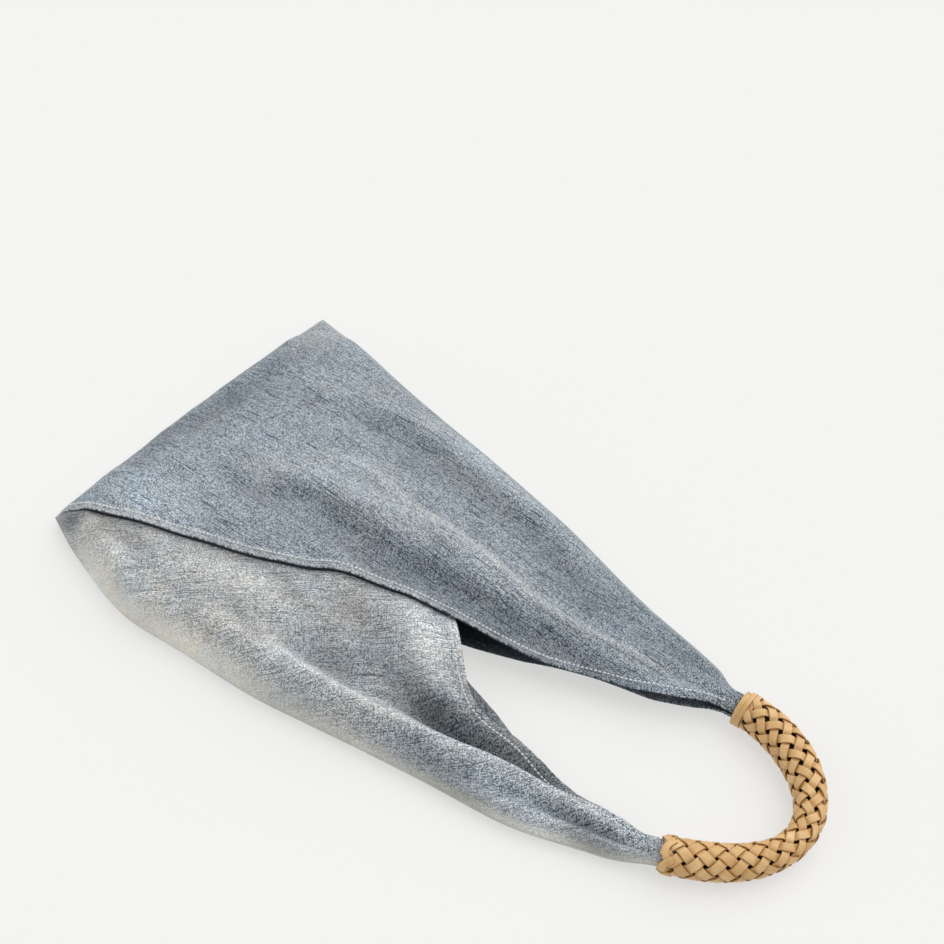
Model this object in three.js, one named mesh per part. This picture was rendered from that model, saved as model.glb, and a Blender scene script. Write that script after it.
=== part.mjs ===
// A slouchy shoulder bag of washed denim with a braided leather handle, lying flat on a table.
// Millimetres, +Z up. Its length runs along +X, from the bottom edge to the handle, and it rests on Z = 0.
import * as THREE from "three";
import { mergeVertices } from "three/addons/utils/BufferGeometryUtils.js";

// Denim body
const CLOTH = 1.4; // thickness of the denim
const BASE_WIDTH = 324; // bottom edge, corner to corner
const BASE_BOW = 3; // outward bow of the bottom edge at its middle
const BODY_LENGTH = 337; // bottom edge to the front crotch of the mouth
const EAR_LENGTH = 219; // front crotch to the handle's upper end
const LOFT = 44; // height of the lying bag at its crown
const EDGE_HEIGHT = 10; // height of the outer folds above the table
const TOP_ROLL = 34; // how far the top layer takes to round over to the bottom edge and the upper fold
const LOWER_ROLL = 24; // how far it takes to round over to the lower fold
const UNDER_ROLL = 14; // how far the under layer takes to round up to an outer fold
const LAP = 12; // overlap of the cloth in the two lapped seams
const LAP_GAP = 0.4; // clearance between the two layers of a lap
const LAP_RISE = 26; // how far an under layer takes to rise onto the layer below it
const NECK = 34; // length over which an ear gathers into a round roll
const TUCK = 16; // depth of the rolled ear inside the handle
const SLIT_DEG = 16; // half of the roll's open slit, as an angle

// Braided handle
const HANDLE_SPAN = 140; // upper end to lower end, across the bag
const HANDLE_REACH = 91; // upper end to the outermost bend, along the bag
const CORE_D = 20; // round filler in the braid, and the rolled ear's diameter
const STRANDS_EACH_WAY = 6; // laces wound in each direction
const STRAND_THICK = 1.4; // thickness of a lace
const STRAND_HOLE = 3.4; // open gap between two neighbouring laces
const STRAND_CLEAR = 1; // clearance between crossing laces
const BRAID_ANGLE_DEG = 41; // slant of the laces to the handle's axis
const BRAID_SWELL = 1.07; // girth of the braid in its fuller stretch, as a share of its usual girth
const BRAID_WAIST = 0.86; // girth of the braid where its bend draws it thin
const BINDING_WIDTH = 6.5; // leather wrap at each end of the braid
const BINDING_WALL = 3.6; // how far the wrap stands out around the roll
const SEAT_GAP = 0.3; // clearance where one piece seats on another

// Fineness of the surfaces
const BODY_CELLS = 12; // along the body, between the bottom roll and the front crotch
const EAR_CELLS = 8; // along an ear, between the front crotch and the handle
const MAIN_CELLS = 14; // across each half's main panel
const TOP_FLAP_CELLS = 14; // across the flap on top
const UNDER_FLAP_CELLS = 6; // across the flap below
const ROLL_CELLS = 4; // of these, in a rounded edge of the top layer
const UNDER_ROLL_CELLS = 2; // and in a rounded edge of the under layer
const CORE_SIDES = 10;
const CORE_STEPS = 20;
const BINDING_SIDES = 16;

const radians = THREE.MathUtils.degToRad;
const lerp = THREE.MathUtils.lerp;
const smoothstep = THREE.MathUtils.smoothstep;
const clamp = THREE.MathUtils.clamp;
const UP = new THREE.Vector3(0, 0, 1);

// Sizes that follow from the driving ones
const coreRadius = CORE_D / 2;
const strandLift = (STRAND_THICK + STRAND_CLEAR) / 2;
const braidRadius = coreRadius + SEAT_GAP + STRAND_THICK / 2 + strandLift + SEAT_GAP;
const braidOuter = BRAID_SWELL * braidRadius + strandLift + STRAND_THICK / 2;
const handleHeight = Math.max(braidOuter, coreRadius + SEAT_GAP + BINDING_WALL) + 2 * SEAT_GAP;
const lapDrop = CLOTH + LAP_GAP;

// Cubic line y(x) through points with rising x, its slope at each point from the two neighbours.
function smoothLine(points) {
  const slopes = points.map((point, i) => {
    const before = points[Math.max(i - 1, 0)];
    const after = points[Math.min(i + 1, points.length - 1)];
    return (after[1] - before[1]) / (after[0] - before[0]);
  });
  return (x) => {
    let i = points.findIndex((point) => point[0] > x) - 1;
    if (i === -2) i = points.length - 2;
    if (i === -1) i = 0;
    const [x0, y0] = points[i];
    const [x1, y1] = points[i + 1];
    const span = x1 - x0;
    const t = clamp((x - x0) / span, 0, 1);
    const u = 1 - t;
    const blend = u * u * (1 + 2 * t) * y0 + t * t * (1 + 2 * u) * y1;
    return blend + span * (t * u * u * slopes[i] - t * t * u * slopes[i + 1]);
  };
}

// Outlines are drawn as shares. Along: 0 at the bottom edge, 1 at the front crotch, 2 at the handle's
// upper end. Across: -1 and 1 at the two bottom corners.
const along = (share) => BODY_LENGTH * Math.min(share, 1) + EAR_LENGTH * Math.max(share - 1, 0);
const across = (share) => (BASE_WIDTH / 2) * share;
const outline = (points) => smoothLine(points.map(([a, c]) => [along(a), across(c)]));

const BACK_CROTCH = 0.955;
const upperFold = outline([
  [0, 1], [0.17, 0.965], [0.45, 0.87], [0.74, 0.805], [1, 0.735], [1.45, 0.62], [1.8, 0.56], [2, 0.5],
]);
const lowerFold = outline([
  [0, -1], [0.12, -1.078], [0.35, -1.163], [0.55, -1.117], [0.76, -1.063], [0.9, -0.998], [1.08, -0.923],
  [1.35, -0.845], [1.65, -0.763], [1.9, -0.63], [2.1, -0.525],
]);
const frontHem = outline([
  [0, -1], [0.1, -0.865], [0.3, -0.7], [0.52, -0.56], [0.73, -0.325], [1, -0.155], [1.25, -0.09],
  [1.5, 0.05], [1.7, 0.175], [1.865, 0.312], [2, 0.41],
]);
const backHem = outline([[0, 1], [0.24, 0.79], [0.49, 0.5], [0.74, 0.14], [BACK_CROTCH, -0.19]]);
const frontRimLower = outline([
  [1, -0.155], [1.1, -0.24], [1.19, -0.348], [1.26, -0.408], [1.33, -0.43], [1.45, -0.42], [1.6, -0.43],
  [1.75, -0.445], [1.9, -0.44], [2.1, -0.4],
]);
const backRimUpper = outline([
  [BACK_CROTCH, -0.19], [1.03, -0.125], [1.2, -0.045], [1.35, 0.05], [1.6, 0.19], [1.7, 0.237], [1.87, 0.36],
  [2, 0.43],
]);
const backRimLower = outline([
  [BACK_CROTCH, -0.19], [1.16, -0.298], [1.32, -0.336], [1.468, -0.387], [1.758, -0.45], [1.9, -0.45],
  [2.1, -0.4],
]);

// A flap's hidden edge starts from the outer fold at the corner, opens where the rounded layers lie
// apart, lies a lap's width under the hem, and meets it at the crotch.
function lappedEdge(fold, hem, rim, crotch, side, opens) {
  return (x) => {
    if (x >= crotch) return rim(x);
    const opened = smoothstep(x, opens, opens + LAP);
    const overlap = LAP * Math.min(1, (crotch - x) / LAP);
    return lerp(fold(x), hem(x) + side * overlap, opened);
  };
}
const backCrotch = along(BACK_CROTCH);
const frontLapEdge = lappedEdge(lowerFold, frontHem, frontRimLower, BODY_LENGTH, 1, 0.4 * TOP_ROLL);
const backLapEdge = lappedEdge(upperFold, backHem, backRimUpper, backCrotch, -1, UNDER_ROLL);
const frontHemLine = frontHem;
const backHemLine = (x) => (x < backCrotch ? backHem(x) : backRimLower(x));

// Height of the top layer along the bag.
const crown = smoothLine(
  [[0, 0.68], [0.2, 0.88], [0.55, 1], [1, 0.84], [1.4, 0.66], [1.8, 0.54], [2.1, 0.54]].map(([a, h]) => [
    along(a), LOFT * h,
  ]),
);

// Soft folds of the top layer, each a ridge or a valley along a line drawn in shares, with its half
// width and its height.
function softFold(points, width, height, lengthways = along, sideways = across) {
  const line = smoothLine(points.map(([a, c]) => [lengthways(a), sideways(c)]));
  return { line, from: lengthways(points[0][0]), to: lengthways(points.at(-1)[0]), width, height };
}
const FOLDS_ALONG = [
  // Upper half: the long valley beside the hem, the ridge above it, and the slack by the upper fold
  softFold(
    [
      [0.26, -0.37], [0.36, -0.26], [0.46, -0.175], [0.56, -0.14], [0.7, -0.14], [0.8, -0.115], [0.92, -0.05],
      [1.08, -0.01], [1.3, 0.04], [1.6, 0.15],
    ],
    17,
    -13,
  ),
  softFold(
    [
      [0.32, -0.12], [0.42, -0.04], [0.54, 0.035], [0.69, 0.08], [0.84, 0.12], [0.99, 0.14], [1.21, 0.17],
      [1.5, 0.22], [1.85, 0.3],
    ],
    15,
    7,
  ),
  softFold(
    [[0.26, 0.33], [0.44, 0.48], [0.6, 0.52], [0.77, 0.52], [0.945, 0.505], [1.14, 0.46], [1.5, 0.4]],
    15,
    -5.5,
  ),
  softFold([[0.3, 0.6], [0.6, 0.68], [0.8, 0.665], [1, 0.64], [1.4, 0.53]], 13, 4),
  // Lower half: the ridge along the ear, the pocket inside the rim, the sunk rim, and the bulge at its knee
  softFold(
    [
      [0.56, -0.94], [0.68, -0.93], [0.76, -0.91], [0.85, -0.87], [0.98, -0.82], [1.1, -0.765], [1.2, -0.715],
      [1.32, -0.67], [1.42, -0.625], [1.5, -0.6], [1.65, -0.555], [1.78, -0.515], [1.95, -0.47],
    ],
    8,
    9,
  ),
  softFold(
    [[1.3, -0.675], [1.42, -0.625], [1.5, -0.6], [1.65, -0.55], [1.78, -0.505], [1.95, -0.455], [2.1, -0.41]],
    7,
    6,
  ),
  softFold(
    [[0.84, -0.47], [0.91, -0.52], [1, -0.585], [1.1, -0.62], [1.2, -0.61], [1.32, -0.575], [1.45, -0.535]],
    13.5,
    -17.5,
  ),
  softFold(
    [[1.15, -0.62], [1.3, -0.582], [1.42, -0.548], [1.5, -0.526], [1.65, -0.495], [1.8, -0.468]],
    8.5,
    -16.5,
  ),
  softFold(
    [[1.18, -0.36], [1.3, -0.42], [1.42, -0.42], [1.55, -0.425], [1.7, -0.45], [1.9, -0.45]],
    11,
    -8.5,
  ),
  softFold([[0.84, -0.2], [0.92, -0.26], [1, -0.37], [1.1, -0.45], [1.26, -0.5]], 12, 6),
  softFold([[0.7, -0.48], [0.79, -0.455], [0.88, -0.46]], 12, -4),
  softFold([[0.74, -0.72], [0.85, -0.75], [0.97, -0.74]], 14, -4),
  softFold([[0.4, -0.82], [0.52, -0.74], [0.63, -0.7], [0.74, -0.68]], 14, 4),
  softFold([[0.08, -0.97], [0.2, -0.99], [0.34, -1.05]], 11, 5),
];
// The hollow behind the bottom edge runs across the bag, so its line takes the share across first.
const FOLDS_ACROSS = [
  softFold(
    [[-0.65, 0.055], [-0.36, 0.05], [0, 0.075], [0.17, 0.09], [0.35, 0.1], [0.6, 0.1]],
    15,
    -6,
    across,
    along,
  ),
];
const SLOPE_STEP = 0.1;
function foldSum(folds, run, aside) {
  let sum = 0;
  for (const { line, from, to, width, height } of folds) {
    const held = clamp(run, from, to);
    const slope = (line(held + SLOPE_STEP) - line(held - SLOPE_STEP)) / (2 * SLOPE_STEP);
    const off = Math.hypot((aside - line(held)) / Math.hypot(1, slope), run - held) / width;
    const fade = Math.sin(Math.PI * lerp(0.08, 0.92, (held - from) / (to - from)));
    sum += height * fade * Math.exp(-off * off);
  }
  return sum;
}
const foldHeight = (x, y) => foldSum(FOLDS_ALONG, x, y) + foldSum(FOLDS_ACROSS, y, x);

// Quarter-round rise from 0 at an edge to 1 at a distance of one roll.
const roll = (distance, reach) => Math.sqrt(1 - (1 - clamp(distance / reach, 0, 1)) ** 2);
const edgeRise = (x, y, reach, lowerReach) =>
  roll(x, reach) * roll(upperFold(x) - y, reach) * roll(y - lowerFold(x), lowerReach);

function topHeight(x, y, drop) {
  const centre = (upperFold(x) + lowerFold(x)) / 2;
  const half = (upperFold(x) - lowerFold(x)) / 2;
  const dome = 1 - 0.16 * ((y - centre) / half) ** 2;
  const top = crown(x) * dome + foldHeight(x, y) - drop;
  return lerp(EDGE_HEIGHT, top, edgeRise(x, y, TOP_ROLL, LOWER_ROLL));
}
function underHeight(x, y, rise) {
  return lerp(EDGE_HEIGHT, CLOTH / 2 + rise, edgeRise(x, y, UNDER_ROLL, UNDER_ROLL));
}

// Handle's centre line: one cubic arc from its upper end to its lower end, in shares of its reach and span.
const HANDLE_POINTS = [[-0.05, 0.5], [0.82, 0.588], [1.68, -0.05], [0.25, -0.5]];
const handleLine = new THREE.CubicBezierCurve3(
  ...HANDLE_POINTS.map(
    ([reach, span]) =>
      new THREE.Vector3(along(2) + HANDLE_REACH * reach, HANDLE_SPAN * span, handleHeight),
  ),
);
handleLine.arcLengthDivisions = 600;
const handleLength = handleLine.getLength();

// Radius to the middle of the braid at a distance along the handle.
const girth = smoothLine([
  [0, 1], [0.1, BRAID_SWELL], [0.27, BRAID_SWELL], [0.54, BRAID_WAIST], [0.8, 1], [1, 1],
]);
const braidRadiusAt = (distance) => braidRadius * girth(distance / handleLength);

// Point and axes of the handle at a distance along it. Before an end it runs straight on.
function handleFrame(distance) {
  const inside = clamp(distance, 0, handleLength);
  const tangent = handleLine.getTangentAt(inside / handleLength);
  const point = handleLine.getPointAt(inside / handleLength);
  point.addScaledVector(tangent, distance - inside);
  return { point, tangent, left: new THREE.Vector3().crossVectors(UP, tangent) };
}

// One half of the strip: a main panel between hem and outer fold, and a flap that turns back under
// that fold. side is 1 for the upper half, whose main panel is on top, and -1 for the lower half, whose
// main panel lies below. Both halves have the same rows up to the crotch, and a column a lap's width
// from each edge, so that the two layers of a lap follow each other.
function halfStrip(side, mainEdge, fold, flapEdge) {
  const start = side > 0 ? 0 : handleLength;
  const end = handleFrame(start);
  const inward = side > 0 ? 1 : -1;
  const mouthX = end.point.x;
  const rolled = coreRadius - CLOTH / 2;
  const slit = Math.PI - radians(SLIT_DEG);
  const upper = { top: true, rollCells: ROLL_CELLS, reach: side > 0 ? TOP_ROLL : LOWER_ROLL };
  const under = { top: false, rollCells: UNDER_ROLL_CELLS, reach: UNDER_ROLL };
  const main = { ...(side > 0 ? upper : under), edge: mainEdge, cells: MAIN_CELLS, way: 1 };
  const flapCells = side > 0 ? UNDER_FLAP_CELLS : TOP_FLAP_CELLS;
  const flap = { ...(side > 0 ? under : upper), edge: flapEdge, cells: flapCells, way: -1 };

  const rows = [];
  for (let i = 0; i < ROLL_CELLS; i++) {
    rows.push(TOP_ROLL * (1 - Math.cos((Math.PI / 2) * (i / ROLL_CELLS))));
  }
  for (let i = 0; i < BODY_CELLS; i++) rows.push(lerp(TOP_ROLL, BODY_LENGTH, i / BODY_CELLS));
  for (let i = 0; i < EAR_CELLS; i++) rows.push(lerp(BODY_LENGTH, mouthX, i / EAR_CELLS));
  for (let i = 0; i <= 2; i++) rows.push(mouthX + (TUCK * i) / 2);

  // Share of the way from a panel's edge to its fold, for each column: one lap, then even, then close
  // together in the rounding.
  function columns({ edge, cells, rollCells, reach }, x) {
    const width = Math.max(Math.abs(fold(x) - edge(x)), CLOTH);
    const lap = Math.min(LAP / width, 0.2);
    const rounding = Math.min(reach / width, 0.7);
    const settled = smoothstep(x, 0, TOP_ROLL);
    const flatCells = cells - rollCells;
    return Array.from({ length: cells + 1 }, (unused, j) => {
      const turn = (Math.PI / 2) * ((j - flatCells) / rollCells);
      const flat = j === 0 ? 0 : lerp(lap, 1 - rounding, (j - 1) / (flatCells - 1));
      const shaped = j <= flatCells ? flat : 1 - rounding * (1 - Math.sin(turn));
      return lerp(j / cells, shaped, settled);
    });
  }

  // A panel point as the cloth lies, and the same point on the round roll, blended along the neck.
  function place(x, y, z, turn) {
    const before = x - mouthX;
    const shift = BASE_BOW * (1 - (y / across(1)) ** 2) * (1 - smoothstep(x, 0, 3 * TOP_ROLL));
    const lying = new THREE.Vector3(x - shift, y, z);
    const axis = handleFrame(start + inward * before);
    const outward = axis.left.multiplyScalar(side * inward);
    const onRoll = axis.point
      .addScaledVector(outward, rolled * Math.cos(turn))
      .addScaledVector(UP, side * rolled * Math.sin(turn));
    return lying.lerp(onRoll, smoothstep(before, -NECK, 0));
  }

  const layer = (top, x, y) => {
    const below = side > 0 ? backHemLine(x) : frontHemLine(x);
    const past = 1 - smoothstep(side * (y - below), 0, LAP_RISE);
    if (top) return topHeight(x, y, side > 0 ? 0 : lapDrop);
    return underHeight(x, y, side > 0 ? lapDrop * past : 0);
  };
  return rows.map((x) => {
    const [mainRow, flapRow] = [main, flap].map((panel) =>
      columns(panel, x).map((share, j, all) => {
        const y = lerp(panel.edge(x), fold(x), share);
        return place(x, y, layer(panel.top, x, y), panel.way * slit * (1 - j / (all.length - 1)));
      }),
    );
    return mainRow.concat(flapRow.reverse().slice(1));
  });
}

// Two triangles for each cell of a grid of points, split along the shorter diagonal.
function gridTriangles(rows) {
  const corners = [];
  for (let i = 0; i + 1 < rows.length; i++) {
    for (let j = 0; j + 1 < rows[i].length; j++) {
      const [a, b, c, d] = [rows[i][j], rows[i + 1][j], rows[i + 1][j + 1], rows[i][j + 1]];
      corners.push(...(a.distanceTo(c) < b.distanceTo(d) ? [a, b, c, a, c, d] : [a, b, d, b, c, d]));
    }
  }
  return corners;
}

// A closed slab around a middle surface: both faces at half the thickness along the normals, and walls
// on its edges.
function thicken(corners, thickness) {
  const middle = mergeVertices(new THREE.BufferGeometry().setFromPoints(corners), 1e-3);
  const index = [];
  for (let i = 0; i < middle.index.count; i += 3) {
    const [a, b, c] = [0, 1, 2].map((k) => middle.index.getX(i + k));
    if (a !== b && b !== c && c !== a) index.push(a, b, c);
  }
  middle.setIndex(index);
  middle.computeVertexNormals();
  const { position, normal } = middle.attributes;
  const points = [1, -1].flatMap((face) =>
    Array.from({ length: position.count }, (unused, i) =>
      new THREE.Vector3()
        .fromBufferAttribute(position, i)
        .addScaledVector(new THREE.Vector3().fromBufferAttribute(normal, i), (face * thickness) / 2),
    ),
  );
  const edges = new Set();
  for (let i = 0; i < index.length; i += 3) {
    for (let k = 0; k < 3; k++) edges.add(index[i + k] + "," + index[i + ((k + 1) % 3)]);
  }
  const count = position.count;
  const closed = index.slice();
  for (let i = 0; i < index.length; i += 3) {
    closed.push(index[i] + count, index[i + 2] + count, index[i + 1] + count);
  }
  for (const edge of edges) {
    const [a, b] = edge.split(",").map(Number);
    if (!edges.has(b + "," + a)) closed.push(b, a, a + count, b, a + count, b + count);
  }
  return new THREE.BufferGeometry().setFromPoints(points).setIndex(closed);
}

// The folded strip: both halves share the row along the bottom edge.
function bagBody() {
  const upper = halfStrip(1, frontHemLine, upperFold, backLapEdge);
  const lower = halfStrip(-1, backHemLine, lowerFold, frontLapEdge);
  return thicken(gridTriangles(upper).concat(gridTriangles(lower)), CLOTH);
}

// Braid: laces of one hand lie over those of the other at every second crossing level, in step around
// the tube.
const braidStart = BINDING_WIDTH + SEAT_GAP;
const braidLength = handleLength - 2 * braidStart;
const levelPitch = (Math.PI * braidRadius) / STRANDS_EACH_WAY / Math.tan(radians(BRAID_ANGLE_DEG));
const levels = Math.round(braidLength / levelPitch);
const levelStep = braidLength / levels;
const turnPerStep = Math.PI / STRANDS_EACH_WAY;
const strandSpacing =
  ((2 * Math.PI * braidRadius) / STRANDS_EACH_WAY) * Math.cos(radians(BRAID_ANGLE_DEG));
const strandWidth = strandSpacing - STRAND_HOLE;
const strandFlat = 0.62 * strandWidth * Math.cos(radians(BRAID_ANGLE_DEG));

// One lace: a flat section carried round the tube, level over or under each crossing and sloping in
// between. It is as wide as the braid's girth lets it lie.
function strand(hand, number) {
  const firstPlace = hand > 0 ? number : number + 0.5;
  const stations = [];
  for (let n = 0; n < levels; n++) {
    const lift = hand * (n % 2 ? -1 : 1) * strandLift;
    const middle = (n + 0.5) * levelStep;
    stations.push({ at: n === 0 ? 0 : middle - strandFlat, lift });
    stations.push({ at: n === levels - 1 ? braidLength : middle + strandFlat, lift });
  }
  const path = stations.map(({ at, lift }) => {
    const { point, tangent, left } = handleFrame(braidStart + at);
    const angle = 2 * turnPerStep * firstPlace + hand * turnPerStep * (at / levelStep);
    const radial = left.clone().multiplyScalar(Math.cos(angle)).addScaledVector(UP, Math.sin(angle));
    const round = left.clone().multiplyScalar(-Math.sin(angle)).addScaledVector(UP, Math.cos(angle));
    const radius = braidRadiusAt(braidStart + at);
    const bend = 1 - curvatureAt(braidStart + at) * radius * Math.cos(angle);
    const ahead = tangent
      .clone()
      .multiplyScalar(bend * levelStep)
      .addScaledVector(round, hand * turnPerStep * radius)
      .normalize();
    const centre = point.addScaledVector(radial, radius + lift);
    const cutSquare = at === 0 || at === braidLength;
    const wide = cutSquare
      ? round.multiplyScalar(-1 / ahead.dot(tangent))
      : new THREE.Vector3().crossVectors(radial, ahead);
    return { centre, radial, wide: wide.multiplyScalar(radius / braidRadius) };
  });
  const rings = path.map(({ centre, radial, wide }) =>
    [[1, 1], [-1, 1], [-1, -1], [1, -1]].map(([w, t]) =>
      centre
        .clone()
        .addScaledVector(wide, (w * strandWidth) / 2)
        .addScaledVector(radial, (t * STRAND_THICK) / 2),
    ),
  );
  return sweep(rings, hand);
}

// Turning of the handle's centre line for each millimetre, positive to its left.
function curvatureAt(distance) {
  const reach = 2;
  const before = handleFrame(distance - reach).tangent;
  const after = handleFrame(distance + reach).tangent;
  return new THREE.Vector3().crossVectors(before, after).z / (2 * reach);
}

// A closed solid through four-cornered rings, with both ends capped. On its broad faces each cell is
// split along the diagonal that lies with the handle's axis, so that both faces follow the tube.
function sweep(rings, hand) {
  const corners = [];
  const quad = (a, b, c, d, turned) => corners.push(...(turned ? [b, c, d, b, d, a] : [a, b, c, a, c, d]));
  for (let i = 0; i + 1 < rings.length; i++) {
    for (let k = 0; k < 4; k++) {
      const next = (k + 1) % 4;
      const turned = k === 0 ? hand > 0 : hand < 0;
      quad(rings[i][k], rings[i][next], rings[i + 1][next], rings[i + 1][k], turned);
    }
  }
  quad(...rings[0].slice().reverse(), false);
  quad(...rings[rings.length - 1], false);
  return mergeVertices(new THREE.BufferGeometry().setFromPoints(corners), 1e-4);
}

// A solid turned about its Y axis, carried onto the handle's centre line from one of its ends.
function bentAlongHandle(turned, start, inward) {
  const { position } = turned.attributes;
  for (let i = 0; i < position.count; i++) {
    const { point, left } = handleFrame(start + inward * position.getY(i));
    point.addScaledVector(left, -inward * position.getX(i)).addScaledVector(UP, position.getZ(i));
    position.setXYZ(i, point.x, point.y, point.z);
  }
  return turned;
}

// The filler between the two tucked ears, as thick as the braid leaves room for.
function handleCore() {
  const from = TUCK + SEAT_GAP;
  const to = handleLength - from;
  const sides = Array.from({ length: CORE_STEPS + 1 }, (unused, i) => {
    const at = lerp(from, to, i / CORE_STEPS);
    return new THREE.Vector2(coreRadius + braidRadiusAt(at) - braidRadius, at);
  });
  const profile = [new THREE.Vector2(0, from), ...sides, new THREE.Vector2(0, to)];
  return bentAlongHandle(new THREE.LatheGeometry(profile, CORE_SIDES), 0, 1);
}

// Two turns of a narrow leather wrap around the rolled ear: a ring with two rounded backs.
function binding(start, inward) {
  const inner = coreRadius + SEAT_GAP;
  const outer = inner + BINDING_WALL;
  const [crest, valley, edge] = [outer, outer - 0.35 * BINDING_WALL, outer - 0.3 * BINDING_WALL];
  const profile = [
    [inner, 0], [edge, 0], [crest, 0.25], [valley, 0.5], [crest, 0.75], [edge, 1], [inner, 1], [inner, 0],
  ].map(([radius, share]) => new THREE.Vector2(radius, BINDING_WIDTH * share));
  return bentAlongHandle(new THREE.LatheGeometry(profile, BINDING_SIDES), start, inward);
}

const denim = new THREE.MeshStandardMaterial({ color: 0x96a1a9, roughness: 0.9, metalness: 0 });
const lace = new THREE.MeshStandardMaterial({ color: 0xb48e5f, roughness: 0.55, metalness: 0 });
const filler = new THREE.MeshStandardMaterial({ color: 0x3a2a1a, roughness: 0.95, metalness: 0 });

const bag = new THREE.Group();
function add(name, geometry, material) {
  const mesh = new THREE.Mesh(geometry, material.clone());
  mesh.name = name;
  bag.add(mesh);
  return mesh;
}

add("bag_body", bagBody(), denim);
add("handle_core", handleCore(), filler);
for (let i = 0; i < 2 * STRANDS_EACH_WAY; i++) {
  const hand = i < STRANDS_EACH_WAY ? 1 : -1;
  const name = "strand_" + String(i + 1).padStart(2, "0");
  add(name, strand(hand, i % STRANDS_EACH_WAY), lace);
}
add("binding_upper", binding(0, 1), lace);
add("binding_lower", binding(handleLength, -1), lace);

// The part's origin is below the middle of its box, on the table.
const box = new THREE.Box3().setFromObject(bag);
const middle = box.getCenter(new THREE.Vector3());
bag.position.set(-middle.x, -middle.y, -box.min.z);

export default bag;
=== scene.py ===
import math

import bpy
import numpy as np
from bpy.props import FloatProperty, FloatVectorProperty, IntProperty, PointerProperty
from bpy.types import Operator, Panel, PropertyGroup
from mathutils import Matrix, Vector


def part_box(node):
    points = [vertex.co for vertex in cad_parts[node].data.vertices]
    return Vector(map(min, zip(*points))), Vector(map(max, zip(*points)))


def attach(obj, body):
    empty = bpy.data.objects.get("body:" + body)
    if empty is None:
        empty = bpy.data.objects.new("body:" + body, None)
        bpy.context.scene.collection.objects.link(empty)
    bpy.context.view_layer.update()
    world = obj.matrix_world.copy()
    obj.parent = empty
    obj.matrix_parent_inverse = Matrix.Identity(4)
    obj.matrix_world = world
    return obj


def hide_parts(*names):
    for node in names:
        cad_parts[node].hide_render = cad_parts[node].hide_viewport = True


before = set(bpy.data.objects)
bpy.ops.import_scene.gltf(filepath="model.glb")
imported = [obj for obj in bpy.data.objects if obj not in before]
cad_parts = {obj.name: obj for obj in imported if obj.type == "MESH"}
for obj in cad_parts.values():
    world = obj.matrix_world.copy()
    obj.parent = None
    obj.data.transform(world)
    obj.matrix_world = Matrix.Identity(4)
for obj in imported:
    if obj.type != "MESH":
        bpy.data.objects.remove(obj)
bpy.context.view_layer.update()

bl_info = {
    "name": "Denim Shoulder Bag",
    "version": (1, 0, 0),
    "blender": (4, 5, 0),
    "location": "View3D > Sidebar > Bag",
    "description": "Lying shoulder bag of washed denim with a braided leather handle, on its packed frame",
    "category": "Add Mesh",
}

BODY_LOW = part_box("bag_body")[0]
STRANDS = sorted(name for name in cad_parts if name.startswith("strand_"))
UP = np.array([0, 0, 1.0])

# The two halves of the folded strip: one ends at the handle's upper end, the other at its lower end.
UPPER, LOWER = 1, -1

# Outlines of the folded strip, in shares. Along: 0 at the bottom edge, 1 at the front crotch, 2 at the
# handle's upper end. Across: -1 and 1 at the two bottom corners.
BACK_CROTCH = 0.955
UPPER_FOLD = [
    (0, 1), (0.17, 0.965), (0.45, 0.87), (0.74, 0.805), (1, 0.735), (1.45, 0.62), (1.8, 0.56), (2, 0.5),
]
LOWER_FOLD = [
    (0, -1), (0.12, -1.078), (0.35, -1.163), (0.55, -1.117), (0.76, -1.063), (0.9, -0.998), (1.08, -0.923),
    (1.35, -0.845), (1.65, -0.763), (1.9, -0.63), (2.1, -0.525),
]
FRONT_HEM = [
    (0, -1), (0.06, -0.91), (0.12, -0.865), (0.2, -0.8), (0.39, -0.66), (0.52, -0.565), (0.63, -0.445),
    (0.71, -0.335), (0.81, -0.255), (0.91, -0.19), (1, -0.142), (1.18, -0.09), (1.37, -0.014), (1.53, 0.083),
    (1.7, 0.175), (1.865, 0.312), (2, 0.41),
]
BACK_HEM = [(0, 1), (0.24, 0.79), (0.49, 0.5), (0.74, 0.14), (BACK_CROTCH, -0.19)]
FRONT_RIM_LOWER = [
    (0.93, -0.022), (1, -0.139), (1.1, -0.25), (1.16, -0.318), (1.188, -0.347), (1.225, -0.382),
    (1.26, -0.408), (1.309, -0.426), (1.357, -0.429), (1.4, -0.424), (1.45, -0.418), (1.513, -0.418),
    (1.588, -0.426), (1.67, -0.436), (1.75, -0.443), (1.9, -0.44), (2.1, -0.4),
]
BACK_RIM_UPPER = [
    (BACK_CROTCH, -0.19), (1.04, -0.134), (1.17, -0.06), (1.25, -0.01), (1.31, 0.034), (1.37, 0.076),
    (1.5, 0.152), (1.61, 0.2), (1.7, 0.237), (1.776, 0.29), (1.87, 0.36), (2, 0.43),
]
BACK_RIM_LOWER = [
    (BACK_CROTCH, -0.19), (1.154, -0.286), (1.207, -0.3), (1.259, -0.314), (1.319, -0.332), (1.378, -0.353),
    (1.468, -0.387), (1.578, -0.414), (1.758, -0.45), (1.9, -0.45), (2.1, -0.4),
]
# Crease of the turned-down far corner: across and along in shares, but along in metres where it is below 0.
CORNER_CREASE = [(0.64, -0.01), (0.741, 0.024), (0.827, 0.044), (0.895, 0.084), (0.93, 0.125), (1.0, 0.2)]
# Height of the lying bag along it, as a share of its loft.
CROWN = [(0, 0.68), (0.2, 0.88), (0.55, 1), (1, 0.84), (1.4, 0.66), (1.8, 0.54), (2.1, 0.54)]
# Four points that draw the handle's curve: along as a share of its reach, across as a share of its span.
HANDLE_POINTS = [(-0.05, 0.5), (0.82, 0.588), (1.68, -0.05), (0.25, -0.5)]

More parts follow.
